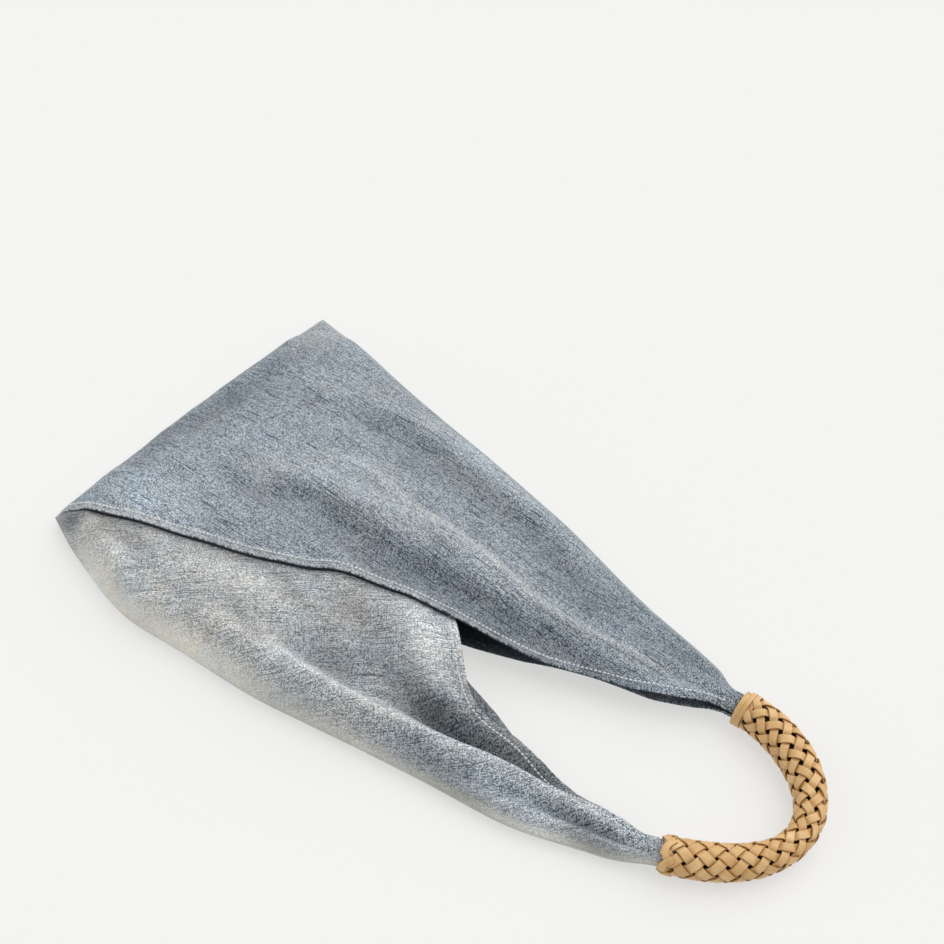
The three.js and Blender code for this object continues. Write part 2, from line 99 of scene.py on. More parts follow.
# Soft folds of the top layer that run along the bag: points in shares, then half width and height in metres.
FOLDS_ALONG = [
    ([(0.37, -0.25), (0.46, -0.175), (0.56, -0.14), (0.7, -0.14), (0.8, -0.115), (0.92, -0.05), (1.08, -0.01),
      (1.3, 0.04), (1.6, 0.15)], 0.017, -0.013),
    ([(0.32, -0.12), (0.42, -0.04), (0.54, 0.035), (0.69, 0.08), (0.84, 0.12), (0.99, 0.14), (1.21, 0.17),
      (1.5, 0.22), (1.85, 0.3)], 0.015, 0.007),
    ([(0.36, 0.1), (0.5, 0.18), (0.62, 0.25), (0.74, 0.37)], 0.011, 0.0035),
    ([(0.26, 0.33), (0.44, 0.48), (0.6, 0.52), (0.77, 0.52), (0.945, 0.505), (1.14, 0.46),
      (1.5, 0.4)], 0.015, -0.0055),
    ([(0.3, 0.6), (0.6, 0.68), (0.8, 0.665), (1, 0.64), (1.4, 0.53)], 0.013, 0.004),
    ([(0.56, -0.94), (0.68, -0.93), (0.76, -0.91), (0.85, -0.87), (0.98, -0.82), (1.1, -0.765), (1.2, -0.715),
      (1.32, -0.67), (1.42, -0.625), (1.5, -0.6), (1.65, -0.555), (1.78, -0.515),
      (1.95, -0.47)], 0.008, 0.009),
    ([(1.3, -0.675), (1.42, -0.625), (1.5, -0.6), (1.65, -0.55), (1.78, -0.505), (1.95, -0.455),
      (2.1, -0.41)], 0.007, 0.006),
    ([(0.84, -0.47), (0.91, -0.52), (1, -0.585), (1.1, -0.62), (1.2, -0.61), (1.32, -0.575),
      (1.45, -0.535)], 0.0135, -0.0045),
    ([(1, -0.585), (1.1, -0.62), (1.2, -0.61), (1.32, -0.575), (1.45, -0.535)], 0.0125, -0.0125),
    ([(1.15, -0.62), (1.3, -0.582), (1.42, -0.548), (1.5, -0.526), (1.65, -0.495),
      (1.8, -0.468)], 0.0085, -0.0165),
    ([(1.18, -0.36), (1.3, -0.42), (1.42, -0.42), (1.55, -0.425), (1.7, -0.45),
      (1.9, -0.45)], 0.011, -0.0085),
    ([(0.84, -0.2), (0.92, -0.26), (1, -0.37), (1.1, -0.45), (1.26, -0.5)], 0.012, 0.006),
    ([(0.7, -0.48), (0.79, -0.455), (0.88, -0.46)], 0.012, -0.004),
    ([(0.74, -0.72), (0.85, -0.75), (0.97, -0.74)], 0.014, -0.004),
    ([(0.4, -0.82), (0.52, -0.74), (0.63, -0.7), (0.74, -0.68)], 0.014, 0.004),
    ([(0.55, -0.56), (0.646, -0.58), (0.76, -0.63)], 0.008, -0.004),
    ([(0.08, -0.97), (0.2, -0.99), (0.34, -1.05)], 0.011, 0.005),
    ([(1.3, -0.785), (1.42, -0.745), (1.585, -0.68), (1.76, -0.605), (1.95, -0.53),
      (2.1, -0.47)], 0.005, -0.0025),
    ([(1.5, -0.75), (1.69, -0.675), (1.83, -0.61), (2, -0.535), (2.1, -0.49)], 0.005, 0.004),
    ([(0.58, -0.775), (0.64, -0.805), (0.7, -0.835), (0.79, -0.868), (0.88, -0.853),
      (0.98, -0.82)], 0.006, 0.003),
    ([(0.42, 0.14), (0.5, 0.185), (0.57, 0.215), (0.71, 0.2), (0.82, 0.215), (0.95, 0.21), (1.15, 0.19),
      (1.32, 0.215), (1.48, 0.26), (1.63, 0.3), (1.83, 0.345)], 0.0045, 0.0022),
    ([(0.38, -0.17), (0.45, -0.125), (0.53, -0.1), (0.64, -0.09), (0.8, -0.06)], 0.006, -0.003),
    ([(0.35, -0.1), (0.42, -0.055), (0.5, -0.005), (0.6, 0.02), (0.75, 0.04)], 0.007, 0.0025),
]
# Folds that run across the bag, with across as their first share.
FOLDS_ACROSS = [
    ([(-0.65, 0.055), (-0.36, 0.05), (0, 0.075), (0.17, 0.09), (0.35, 0.1), (0.6, 0.1)], 0.015, -0.006),
    ([(-1.02, 0.075), (-0.9, 0.055)], 0.006, -0.005),
    ([(-1.04, 0.13), (-0.9, 0.12)], 0.005, 0.002),
]
# Pale creases along the sharpest crests, partly wear and partly painted highlight.
PALE_CREASES = [
    [(0.66, -0.81), (0.72, -0.84), (0.79, -0.862), (0.88, -0.845), (0.97, -0.815), (1.1, -0.765),
     (1.22, -0.71), (1.34, -0.655)],
    [(0.46, 0.19), (0.57, 0.225), (0.71, 0.205), (0.82, 0.22), (0.95, 0.215), (1.15, 0.195), (1.32, 0.22),
     (1.48, 0.265), (1.63, 0.3), (1.83, 0.35)],
]
# Soft patches of painted shade and light on the top layer of each half: middle along and across in shares,
# half length and half width in metres, and strength, below 0 for painted shade, above 0 for painted light.
SHADE_PATCHES = {
    UPPER: [
        (0.078, 0.118, 0.014, 0.045, -0.35), (0.45, 0.6, 0.035, 0.016, -0.3), (0.16, -0.62, 0.05, 0.03, 0.4),
        (0.2, -0.66, 0.05, 0.02, 0.45), (0.21, -0.165, 0.02, 0.03, 0.4),
    ],
    LOWER: [
        (0.06, -0.985, 0.013, 0.009, -0.7), (0.165, -0.945, 0.022, 0.016, -1.1),
        (0.607, -0.425, 0.014, 0.012, -0.35), (0.84, -0.56, 0.055, 0.04, -0.35),
        (1.12, -0.55, 0.05, 0.025, -0.4), (0.985, -0.33, 0.042, 0.05, 0.55), (1.35, -0.81, 0.06, 0.014, -0.4),
        (1.93, -0.49, 0.05, 0.02, 0.4), (1.58, -0.665, 0.065, 0.014, 0.75),
        (0.25, -0.875, 0.022, 0.014, -0.9), (0.66, -0.835, 0.025, 0.018, -0.5),
        (1.91, -0.58, 0.035, 0.012, -1.1),
    ],
}
# Painted shade and highlight of the folds: how dark the valleys and how pale the ridges get on each half,
# and the height that counts as 1.
FOLD_SHADE_LIMITS = {UPPER: (-0.5, 0.4), LOWER: (-0.8, 0.7)}
FOLD_SHADE_HEIGHT = 0.008
# How much the cloth darkens towards each ear, and how pale its creases get by wear and painted highlight.
EAR_SHADE = {UPPER: 0.45, LOWER: 0.25}
CREASE_PALENESS = {UPPER: 0.24, LOWER: 0.2}
CREASE_WIDTH = 0.0028
# Direction of the slub yarns on each half, from the bag's length.
SLUB_ANGLE = {UPPER: math.radians(3.5), LOWER: math.radians(41.5)}
# Slow waves of the slack cloth: length along, length across, phase, height.
SLACK_WAVES = [
    (0.31, 0.088, 2.6, 0.0011), (0.21, 0.062, 0.3, 0.0009), (0.16, 0.043, 1.7, 0.0006),
    (0.12, 0.057, 4.0, 0.0005), (0.085, 0.034, 5.2, 0.00035),
]
# Shape of the lying cloth, lengths in metres: how much the dome falls to its sides, depth and length of the
# far corner's turn, reach of the gape under the front hem, and the pleats and gathers of the ears.
DOME_FALL = 0.16
TIP_DROP, TIP_TURN = 0.011, 0.007
GAPE_REACH = 0.015
PLEAT_HEIGHT, PLEAT_WAVES = 0.0022, 2.4
PLEAT_PHASE = {UPPER: 0.6, LOWER: 2.2}
GATHER_DEPTH, GATHER_WAVES = 0.05, 9
# Points at which curves are measured: the handle's line, a hem's edge, a rounding and the lower fold.
LINE_POINTS, EDGE_POINTS, ROLL_POINTS, FOLD_POINTS = 4001, 3000, 400, 2000


def length_property(name, description, default):
    """A size in metres for the sidebar."""
    return FloatProperty(name=name, description=description, default=default, min=0.0, unit="LENGTH",
                         precision=5)


def colour_property(name, description, default):
    """A linear colour for the sidebar."""
    return FloatVectorProperty(name=name, description=description, default=default, min=0.0, max=1.0, size=3,
                               subtype="COLOR")


class BagClothSizes(PropertyGroup):
    """Sizes of the denim strip as it lies"""
    cloth: length_property("Cloth", "Thickness of the denim", 0.0014)
    base_width: length_property("Base width", "Bottom edge, corner to corner", 0.324)
    base_bow: length_property("Base bow", "Outward bow of the bottom edge at its middle", 0.003)
    body_length: length_property("Body length", "Bottom edge to the front crotch of the mouth", 0.337)
    ear_length: length_property("Ear length", "Front crotch to the handle's upper end", 0.219)
    loft: length_property("Loft", "Height of the lying bag at its crown", 0.044)
    edge_height: length_property("Edge height", "Height of the outer folds above the table", 0.01)
    top_roll: length_property("Top roll", "How far the top layer takes to round over to a fold", 0.034)
    lower_roll: length_property("Lower roll", "How far the top layer takes to round over to the lower fold",
                                0.024)
    under_roll: length_property("Under roll", "How far the under layer takes to round up to a fold", 0.014)
    lap: length_property("Lap", "Overlap of the cloth in the lapped seams", 0.012)
    lap_drop: length_property("Lap drop", "How far the covered layer lies below the hem over it", 0.0018)
    lap_gape: length_property("Lap gape", "Further drop right below the hem, where the seam gapes", 0.0036)
    lap_rise: length_property("Lap rise", "How far a layer takes to rise onto the one below it", 0.026)
    neck: length_property("Neck", "Length over which an ear gathers into a round roll", 0.034)
    tuck: length_property("Tuck", "Depth of the rolled ear inside the handle", 0.016)
    slit: FloatProperty(name="Slit", description="Half of the rolled ear's open slit",
                        default=math.radians(16), subtype="ANGLE")
    hem: length_property("Hem", "Width of the turned hems", 0.0078)
    stitch_row: length_property("Stitch row", "Distance of the topstitching from the hem's edge", 0.0054)
    stitch_pitch: length_property("Stitch pitch", "Distance from stitch to stitch", 0.0036)
    thread: length_property("Thread", "Thickness of the sewing thread", 0.00125)


class BagHandleSizes(PropertyGroup):
    """Sizes of the braided handle"""
    span: length_property("Span", "Upper end to lower end, across the bag", 0.14)
    reach: length_property("Reach", "Upper end to the outermost bend, along the bag", 0.091)
    core: length_property("Core", "Diameter of the filler and of the rolled ears", 0.02)
    laces: IntProperty(name="Laces", description="Laces wound in each direction", default=6, min=3, max=12)
    lace: length_property("Lace", "Thickness of a lace", 0.0014)
    hole: length_property("Hole", "Open gap between laces in the slack stretch of the braid", 0.0039)
    hole_drawn: length_property("Drawn hole", "Open gap between laces where the bend draws the braid tight",
                                0.0024)
    lift: length_property("Lift", "How far a lace rises and dips where laces cross", 0.0009)
    tube: length_property("Tube", "Radius to the middle of the braid", 0.0125)
    slant: FloatProperty(name="Slant", description="Slant of the laces to the handle's axis",
                         default=math.radians(41), subtype="ANGLE")
    swell: FloatProperty(name="Swell", description="Girth of the braid in its fuller stretch", default=1.07,
                         subtype="FACTOR", min=0.5, max=1.5)
    waist: FloatProperty(name="Waist", description="Girth of the braid where its bend draws it thin",
                         default=0.8, subtype="FACTOR", min=0.5, max=1.5)
    rise: length_property("Rise", "Height of the handle's centre line above the table", 0.015875)
    binding: length_property("Binding", "Width of the wrap at each end of the braid", 0.0068)
    binding_thick: length_property("Binding thickness", "Thickness of the wrapped lace", 0.0017)


class BagColours(PropertyGroup):
    """Colours of the cloth, the leather and the floor"""
    denim_deep: colour_property("Denim deep", "Dark yarn of the upper half", (0.025, 0.056, 0.086))
    denim_pale: colour_property("Denim pale", "Pale yarn of the upper half", (0.62, 0.685, 0.74))
    washed_deep: colour_property("Washed deep", "Dark yarn of the washed half", (0.14, 0.158, 0.17))
    washed_pale: colour_property("Washed pale", "Pale yarn of the washed half", (0.88, 0.888, 0.87))
    # Wear colour, also used as painted highlight on hems and ridges and as painted bounce light.
    worn: colour_property("Worn edge", "Rubbed cloth on hems and folds", (0.88, 0.86, 0.79))
    # Painted shade: inner faces, hem undersides and the cloth under a hem take this dark colour.
    inside: colour_property("Inside", "Unwashed inner face of the cloth", (0.036, 0.046, 0.062))
    thread: colour_property("Thread", "Topstitching", (0.95, 0.96, 0.97))
    leather: colour_property("Leather", "Face of the laces", (0.61, 0.345, 0.12))
    # Painted highlight, partly wear, on the laces' raised crossings.
    leather_pale: colour_property("Leather pale", "Rubbed crossings of the laces", (0.93, 0.655, 0.33))
    leather_edge: colour_property("Leather edge", "Cut edges of the laces", (0.37, 0.19, 0.06))
    # Partly painted shade: so dark that the braid's holes show it as the shade inside the braid.
    filler: colour_property("Filler", "Core of the handle", (0.028, 0.018, 0.012))
    floor: colour_property("Floor", "Plain pale floor", (0.905, 0.905, 0.89))


class BagStageSettings(PropertyGroup):
    """Camera and light"""
    azimuth: FloatProperty(name="Azimuth", description="Side from which the camera looks", subtype="ANGLE",
                           default=math.radians(41.5))
    elevation: FloatProperty(name="Elevation", description="Height of the view above the table",
                             subtype="ANGLE", default=math.radians(50))
    distance: length_property("Distance", "Camera to the point it looks at", 1.3757)
    aim: FloatVectorProperty(name="Aim", size=2, subtype="XYZ", unit="LENGTH", default=(0.2285, 0.1205),
                             description="Point that the camera looks at, along and across the bag")
    field: FloatProperty(name="Field of view", description="Width of the view", subtype="ANGLE",
                         default=math.radians(34))
    sky: FloatProperty(name="Sky", description="Even light from all around", default=0.40, min=0.0)
    key: FloatProperty(name="Key", description="Soft light from the right and behind", default=2.1, min=0.0)
    fill: FloatProperty(name="Fill", description="Weak soft light from the left", default=0.6, min=0.0)


def smoothstep(value, low, high):
    """0 below low, 1 above high, and 3t^2 - 2t^3 between them."""
    t = np.clip((value - low) / (high - low), 0, 1)
    return t * t * (3 - 2 * t)


def mix(a, b, share):
    """The point a share of the way from a to b."""
    return a + (b - a) * share


def bell(value, width):
    """Bell curve: 1 at 0, and 1/e at a distance of one width."""
    return np.exp(-((value / width) ** 2))


def run_length(line):
    """Length so far at each point of a line of points."""
    return np.concatenate([[0], np.cumsum(np.linalg.norm(np.diff(line, axis=0), axis=1))])


def unit(vectors):
    """Vectors scaled to length 1."""
    return vectors / np.maximum(np.linalg.norm(vectors, axis=-1, keepdims=True), 1e-12)


def smooth_line(points):
    """Cubic y(x) through points with rising x: Hermite pieces with slopes from each point's neighbours."""
    px, py = np.array(points, float).T
    count = len(px)
    before, after = np.maximum(np.arange(count) - 1, 0), np.minimum(np.arange(count) + 1, count - 1)
    slope = (py[after] - py[before]) / (px[after] - px[before])

    def line(x):
        i = np.clip(np.searchsorted(px, x, side="right") - 1, 0, count - 2)
        span = px[i + 1] - px[i]
        t = np.clip((x - px[i]) / span, 0, 1)
        u = 1 - t
        level = u * u * (1 + 2 * t) * py[i] + t * t * (1 + 2 * u) * py[i + 1]
        return level + span * (t * u * u * slope[i] - t * t * u * slope[i + 1])

    return line


def rounding(distance, reach):
    """Quarter-round rise from 0 at an edge to 1 at a distance of one reach."""
    return np.sqrt(np.maximum(1 - (1 - np.clip(distance / reach, 0, 1)) ** 2, 0))


class HandleLine:
    """Centre line of the handle: one cubic arc over the table, measured along its length."""

    def __init__(self, start, sizes):
        corners = np.array([(start + sizes.reach * r, sizes.span * s, sizes.rise) for r, s in HANDLE_POINTS])
        t = np.linspace(0, 1, LINE_POINTS)[:, None]
        u = 1 - t
        self.line = (u**3 * corners[0] + 3 * u * u * t * corners[1] + 3 * u * t * t * corners[2]
                     + t**3 * corners[3])
        self.run = run_length(self.line)
        self.length = self.run[-1]
        self.tangents = unit(np.gradient(self.line, self.run, axis=0))

    def at(self, distance):
        """Point and left side at distances along the line, which runs straight on beyond its ends."""
        inside = np.clip(distance, 0, self.length)
        pick = lambda table: np.stack([np.interp(inside, self.run, table[:, k]) for k in range(3)], -1)
        tangent = unit(pick(self.tangents))
        point = pick(self.line) + tangent * (distance - inside)[..., None]
        left = np.stack([-tangent[..., 1], tangent[..., 0], np.zeros_like(inside)], -1)
        return point, left


class BagPlan:
    """The lying bag as functions of the place along it (x) and across it (y), in metres."""

    def __init__(self, scene):
        s, h = scene.bag_cloth, scene.bag_handle
        self.s, self.h = s, h
        self.upper_fold, self.lower_fold = self.outline(UPPER_FOLD), self.outline(LOWER_FOLD)
        self.front_hem, self.back_hem = self.outline(FRONT_HEM), self.outline(BACK_HEM)
        self.front_rim, self.back_rim_upper = self.outline(FRONT_RIM_LOWER), self.outline(BACK_RIM_UPPER)
        self.back_rim_lower = self.outline(BACK_RIM_LOWER)
        self.crown = smooth_line([(self.along(a), s.loft * height) for a, height in CROWN])
        self.folds_along = [(*self.stretch(points), *size) for points, *size in FOLDS_ALONG]
        self.folds_across = [(*self.cross_stretch(points), *size) for points, *size in FOLDS_ACROSS]
        self.creases = [self.stretch(points) for points in PALE_CREASES]
        self.corner_crease = smooth_line([
            (self.across(c), self.along(max(a, 0)) + min(a, 0)) for c, a in CORNER_CREASE
        ])
        self.back_crotch = self.along(BACK_CROTCH)
        self.handle = HandleLine(self.along(2), h)
        # The braid is full near its upper end, thin at its bend and even at both ends.
        girth = smooth_line([(0, 1), (0.1, h.swell), (0.27, h.swell), (0.54, h.waist), (0.8, 1), (1, 1)])
        self.tube = lambda distance: h.tube * girth(distance / self.handle.length)
        lowest = self.lower_fold(np.linspace(0, self.along(1), FOLD_POINTS)).min()
        self.origin = np.array([BODY_LOW.x + s.base_bow + s.cloth / 2, BODY_LOW.y - lowest + s.cloth / 2, 0])

    def along(self, share):
        """Metres along the bag: shares of the body up to 1, and of the ear beyond."""
        return self.s.body_length * min(share, 1) + self.s.ear_length * max(share - 1, 0)

    def across(self, share):
        """Metres across the bag: shares of half the bottom edge."""
        return self.s.base_width / 2 * share

    def outline(self, points):
        """A line along the bag through points in shares."""
        return smooth_line([(self.along(a), self.across(c)) for a, c in points])

    def stretch(self, points):
        """A line along the bag through points in shares, with where it starts and ends."""
        return self.outline(points), self.along(points[0][0]), self.along(points[-1][0])

    def cross_stretch(self, points):
        """A line across the bag through points in shares, with where it starts and ends."""
        line = smooth_line([(self.across(c), self.along(a)) for c, a in points])
        return line, self.across(points[0][0]), self.across(points[-1][0])

    def past(self, x, start, end):
        """0 up to one share along the bag, 1 beyond another."""
        return smoothstep(x, self.along(start), self.along(end))

    def fold(self, half, x):
        """Outer fold of a half."""
        return self.upper_fold(x) if half == UPPER else self.lower_fold(x)

    def roll(self, half, top):
        """How far a layer takes to round over to its outer fold."""
        if not top:
            return self.s.under_roll
        return self.s.top_roll if half == UPPER else self.s.lower_roll

    def back_edge(self, x):
        """Free edge of the lower half's under layer: the back hem, then the back rim."""
        return np.where(x < self.back_crotch, self.back_hem(x), self.back_rim_lower(x))

    def edge(self, half, top, x):
        """Free edge of a panel: a hem on the two main panels, and on the flaps an edge that lies a lap's
        width under the hem over it, from the corner to the crotch, and is a free rim from there on."""
        s = self.s
        if half == UPPER and top:
            return self.front_hem(x)
        if half == LOWER and not top:
            return self.back_edge(x)
        if top:
            rim = self.front_rim(x)
            lapped = np.where(x < s.body_length, np.minimum(self.front_hem(x) + s.lap, rim), rim)
            return mix(self.fold(half, x), lapped, smoothstep(x, s.cloth, 6 * s.cloth))
        overlap = s.lap * np.clip((self.back_crotch - x) / s.lap, 0, 1)
        opened = smoothstep(x, 3 * s.cloth, 3 * s.cloth + s.lap)
        lapped = mix(self.fold(half, x), self.back_hem(x) - overlap, opened)
        return np.where(x < self.back_crotch, lapped, self.back_rim_upper(x))

    def folds(self, x, y):
        """Sum of all soft folds: each a ridge or valley of bell-shaped section that fades in and out along
        its line as a half wave does."""
        total = np.zeros_like(x)
        for lines, run, off in ((self.folds_along, x, y), (self.folds_across, y, x)):
            for line, start, end, width, height in lines:
                held = np.clip(run, start, end)
                slope = (line(held + 1e-4) - line(held - 1e-4)) / 2e-4
                away = (off - line(held)) ** 2 / (1 + slope**2) + (run - held) ** 2
                strength = np.sin(np.pi * (0.08 + 0.84 * (held - start) / (end - start)))
                total += height * strength * np.exp(-away / width**2)
        return total

    def rub_and_highlight(self, x, y):
        """Paleness of the sharpest creases, by wear and painted highlight: a narrow bell across each line,
        fading at both ends.
        """
        total = np.zeros_like(x)
        for line, start, end in self.creases:
            share = np.clip((x - start) / (end - start), 0, 1)
            total += bell(y - line(x), CREASE_WIDTH) * np.sqrt(np.maximum(4 * share * (1 - share), 0))
        return total

    def spot(self, x, y, a, c, length, width):
        """A soft oval patch about a place given in shares, 1 at its middle."""
        return np.exp(-(((x - self.along(a)) / length) ** 2) - ((y - self.across(c)) / width) ** 2)

    def slack(self, x, y):
        """Slow irregular waves of the slack cloth, longer along the bag than across it."""
        return sum(
            height * np.sin(2 * np.pi * (x / a + 0.35 * np.sin(y / 0.05 + phase)) + phase)
            * np.cos(2 * np.pi * (y / c + 0.2 * np.sin(x / 0.07)) + 2 * phase)
            for a, c, phase, height in SLACK_WAVES
        )

    def edge_rise(self, x, y, reach, lower_reach):
        """Rise from the bottom edge and both outer folds, 0 on them and 1 inside."""
        upper, lower = self.upper_fold(x) - y, y - self.lower_fold(x)
        return rounding(x, reach) * rounding(upper, reach) * rounding(lower, lower_reach)

    def height(self, half, top, x, y):
        """Height of a layer's middle above the table: the top layer is a low dome with folds, and the under
        layer is flat; both round over to the outer folds."""
        s = self.s
        if not top:
            under = 1 - smoothstep(y - self.back_edge(x), 0, s.lap_rise)
            rise = s.cloth / 2 + (s.lap_drop * under if half == UPPER else 0)
            return mix(s.edge_height, rise, self.edge_rise(x, y, s.under_roll, s.under_roll))
        upper, lower = self.upper_fold(x), self.lower_fold(x)
        dome = 1 - DOME_FALL * ((2 * y - upper - lower) / (upper - lower)) ** 2
        turned = smoothstep(self.corner_crease(y) - x, 0, TIP_TURN)
        tip = turned * smoothstep(y, self.across(0.6), self.across(0.7))
        level = self.crown(x) * dome + self.folds(x, y) + self.slack(x, y) - TIP_DROP * tip
        if half == LOWER:
            near = bell(y - self.front_hem(x), GAPE_REACH) * smoothstep(x, 0.006, 0.04)
            near = near * (1 - smoothstep(x, s.body_length, s.body_length + 0.03))
            level = level - s.lap_drop - s.lap_gape * near
        return mix(s.edge_height, level, self.edge_rise(x, y, s.top_roll, s.lower_roll))

    def lay(self, half, top, x, y):
        """Points of a panel: as the cloth lies, with pleats towards the handle, turning over the neck into a
        round and lightly gathered roll about the handle's line."""
        s = self.s
        edge, fold = self.edge(half, top, x), self.fold(half, x)
        width = fold - edge
        share = np.clip((y - edge) / np.where(np.abs(width) < 1e-6, 1e-6, width), -0.1, 1)
        bow = s.base_bow * (1 - (y / self.across(1)) ** 2) * (1 - smoothstep(x, 0, 3 * s.top_roll))
        lying = np.stack([x - bow, y, self.height(half, top, x, y)], -1)
        start, inward = (0.0, 1) if half == UPPER else (self.handle.length, -1)
        before = x - self.mouth(half)
        point, left = self.handle.at(start + inward * before)
        main = (half == UPPER) == top
        turn = (1 if main else -1) * (np.pi - s.slit) * (1 - share)
        gather = 1 + GATHER_DEPTH * np.sin(GATHER_WAVES * turn + 1) * (1 - smoothstep(before, -0.01, 0.004))
        radius = (self.h.core - s.cloth) / 2 * gather
        rolled = point + left * (half * inward * radius * np.cos(turn))[..., None]
        rolled[..., 2] += half * radius * np.sin(turn)
        if top:
            wave = np.sin(2 * np.pi * PLEAT_WAVES * share + PLEAT_PHASE[half])
            swell = smoothstep(before, -0.17, -0.03) * share * (1 - share) * 4
            lying[..., 2] += PLEAT_HEIGHT * wave * swell
        return mix(lying, rolled, smoothstep(before, -s.neck, 0)[..., None])

    def mouth(self, half):
        """Where an ear meets the handle, along the bag."""
        return self.handle.line[0 if half == UPPER else -1, 0]

    def lay_with_normal(self, half, top, x, y):
        """Points of a panel with their outward normals, from differences along and across it."""
        step = 2e-4
        ahead = self.lay(half, top, x + step, y) - self.lay(half, top, x - step, y)
        aside = self.lay(half, top, x, y + step) - self.lay(half, top, x, y - step)
        normal = unit(np.cross(ahead, aside)) * (1 if top else -1)
        return self.lay(half, top, x, y), normal


# Cells across each panel, by half and top or under layer: along the hem, in the flat, and in the rounding.
PANEL_CELLS = {
    (UPPER, True): (6, 50, 16), (UPPER, False): (5, 14, 8),
    (LOWER, True): (6, 46, 24), (LOWER, False): (6, 16, 8),
}
# Rows of points along each half: in the rounding at the bottom edge, over body and ear, and in the handle.
BEND_ROWS, BODY_ROWS, TUCK_ROWS = 11, 172, 4
SEAM_STRIP = 0.012


def columns(x, width, reach, cells, settle):
    """Shares from a panel's edge to its fold: close along the hem and in the rounding, and even at x = 0."""
    hem, flat, turn = cells
    total = hem + flat + turn
    j = np.arange(total + 1)
    wide = np.maximum(np.abs(width), 1e-4)[:, None]
    seam = np.minimum(SEAM_STRIP, 0.2 * wide) / wide
    bent = np.minimum(reach, 0.6 * wide) / wide
    shaped = np.where(j <= hem, seam * j / hem, seam + (1 - bent - seam) * (j - hem) / flat)
    shaped = np.where(j >= hem + flat, 1 - bent * (1 - np.sin(np.pi / 2 * (j - hem - flat) / turn)), shaped)
    return mix(j / total, shaped, smoothstep(x, 0, settle)[:, None])


def half_strip(plan, half):
    """Grid of one half of the strip: its main panel from hem to outer fold, then its flap from the fold back
    to its edge. Gives the points, the fields of the wash and wear, and the cloth's own flat coordinates."""
    s = plan.s
    mouth = plan.mouth(half)
    bend = s.top_roll * (1 - np.cos(np.pi / 2 * np.arange(BEND_ROWS) / BEND_ROWS))
    body = np.linspace(s.top_roll, mouth, BODY_ROWS, endpoint=False)
    x = np.concatenate([bend, body, np.linspace(mouth, mouth + s.tuck, TUCK_ROWS)])
    panels = []
    for main in (True, False):
        top = main == (half == UPPER)
        edge, fold = plan.edge(half, top, x), plan.fold(half, x)
        share = columns(x, fold - edge, plan.roll(half, top), PANEL_CELLS[half, top], s.top_roll)
        y = mix(edge[:, None], fold[:, None], share)
        place = plan, half, top, np.broadcast_to(x[:, None], y.shape), y
        panels.append((plan.lay(*place[1:]), cloth_fields(*place), flat_coordinates(*place)))
    (main, main_fields, main_flat), (flap, flap_fields, flap_flat) = panels
    turned = slice(-2, None, -1)
    return (
        np.concatenate([main, flap[:, turned]], 1),
        {key: np.concatenate([main_fields[key], flap_fields[key][:, turned]], 1) for key in main_fields},
        np.concatenate([main_flat, flap_flat[:, turned]], 1),
    )


def unrolled(distance, reach, height):
    """How much longer the cloth is than the plan between a place and a quarter-round rise's inner end."""
    share = np.linspace(0, 1, ROLL_POINTS)
    rise = height * rounding(share, 1)
    extra = np.cumsum(np.hypot(np.diff(share * reach, prepend=0), np.diff(rise, prepend=0))) - share * reach
    return np.interp(distance / reach, share, extra[-1] - extra)


def flat_coordinates(plan, half, top, x, y):
    """The cloth's own coordinates: places on the plan, with the roundings at the bottom edge and the outer
    fold rolled out, turned to the slub direction of the half."""
    s = plan.s
    height = 0.7 * s.loft - s.edge_height if top else s.edge_height
    a = x - unrolled(x, plan.roll(UPPER, top), height)
    c = y + half * unrolled(np.abs(plan.fold(half, x) - y), plan.roll(half, top), height)
    return grain(a, c if top else -c, half)


def grain(a, c, half):
    """Turns lengths along and across the bag to the slub direction of one half."""
    angle = SLUB_ANGLE[half]
    return np.stack([a * np.cos(angle) + c * np.sin(angle), c * np.cos(angle) - a * np.sin(angle)], -1)


# Value, in millimetres, for cloth that lies under no hem.
UNCOVERED = -20.0


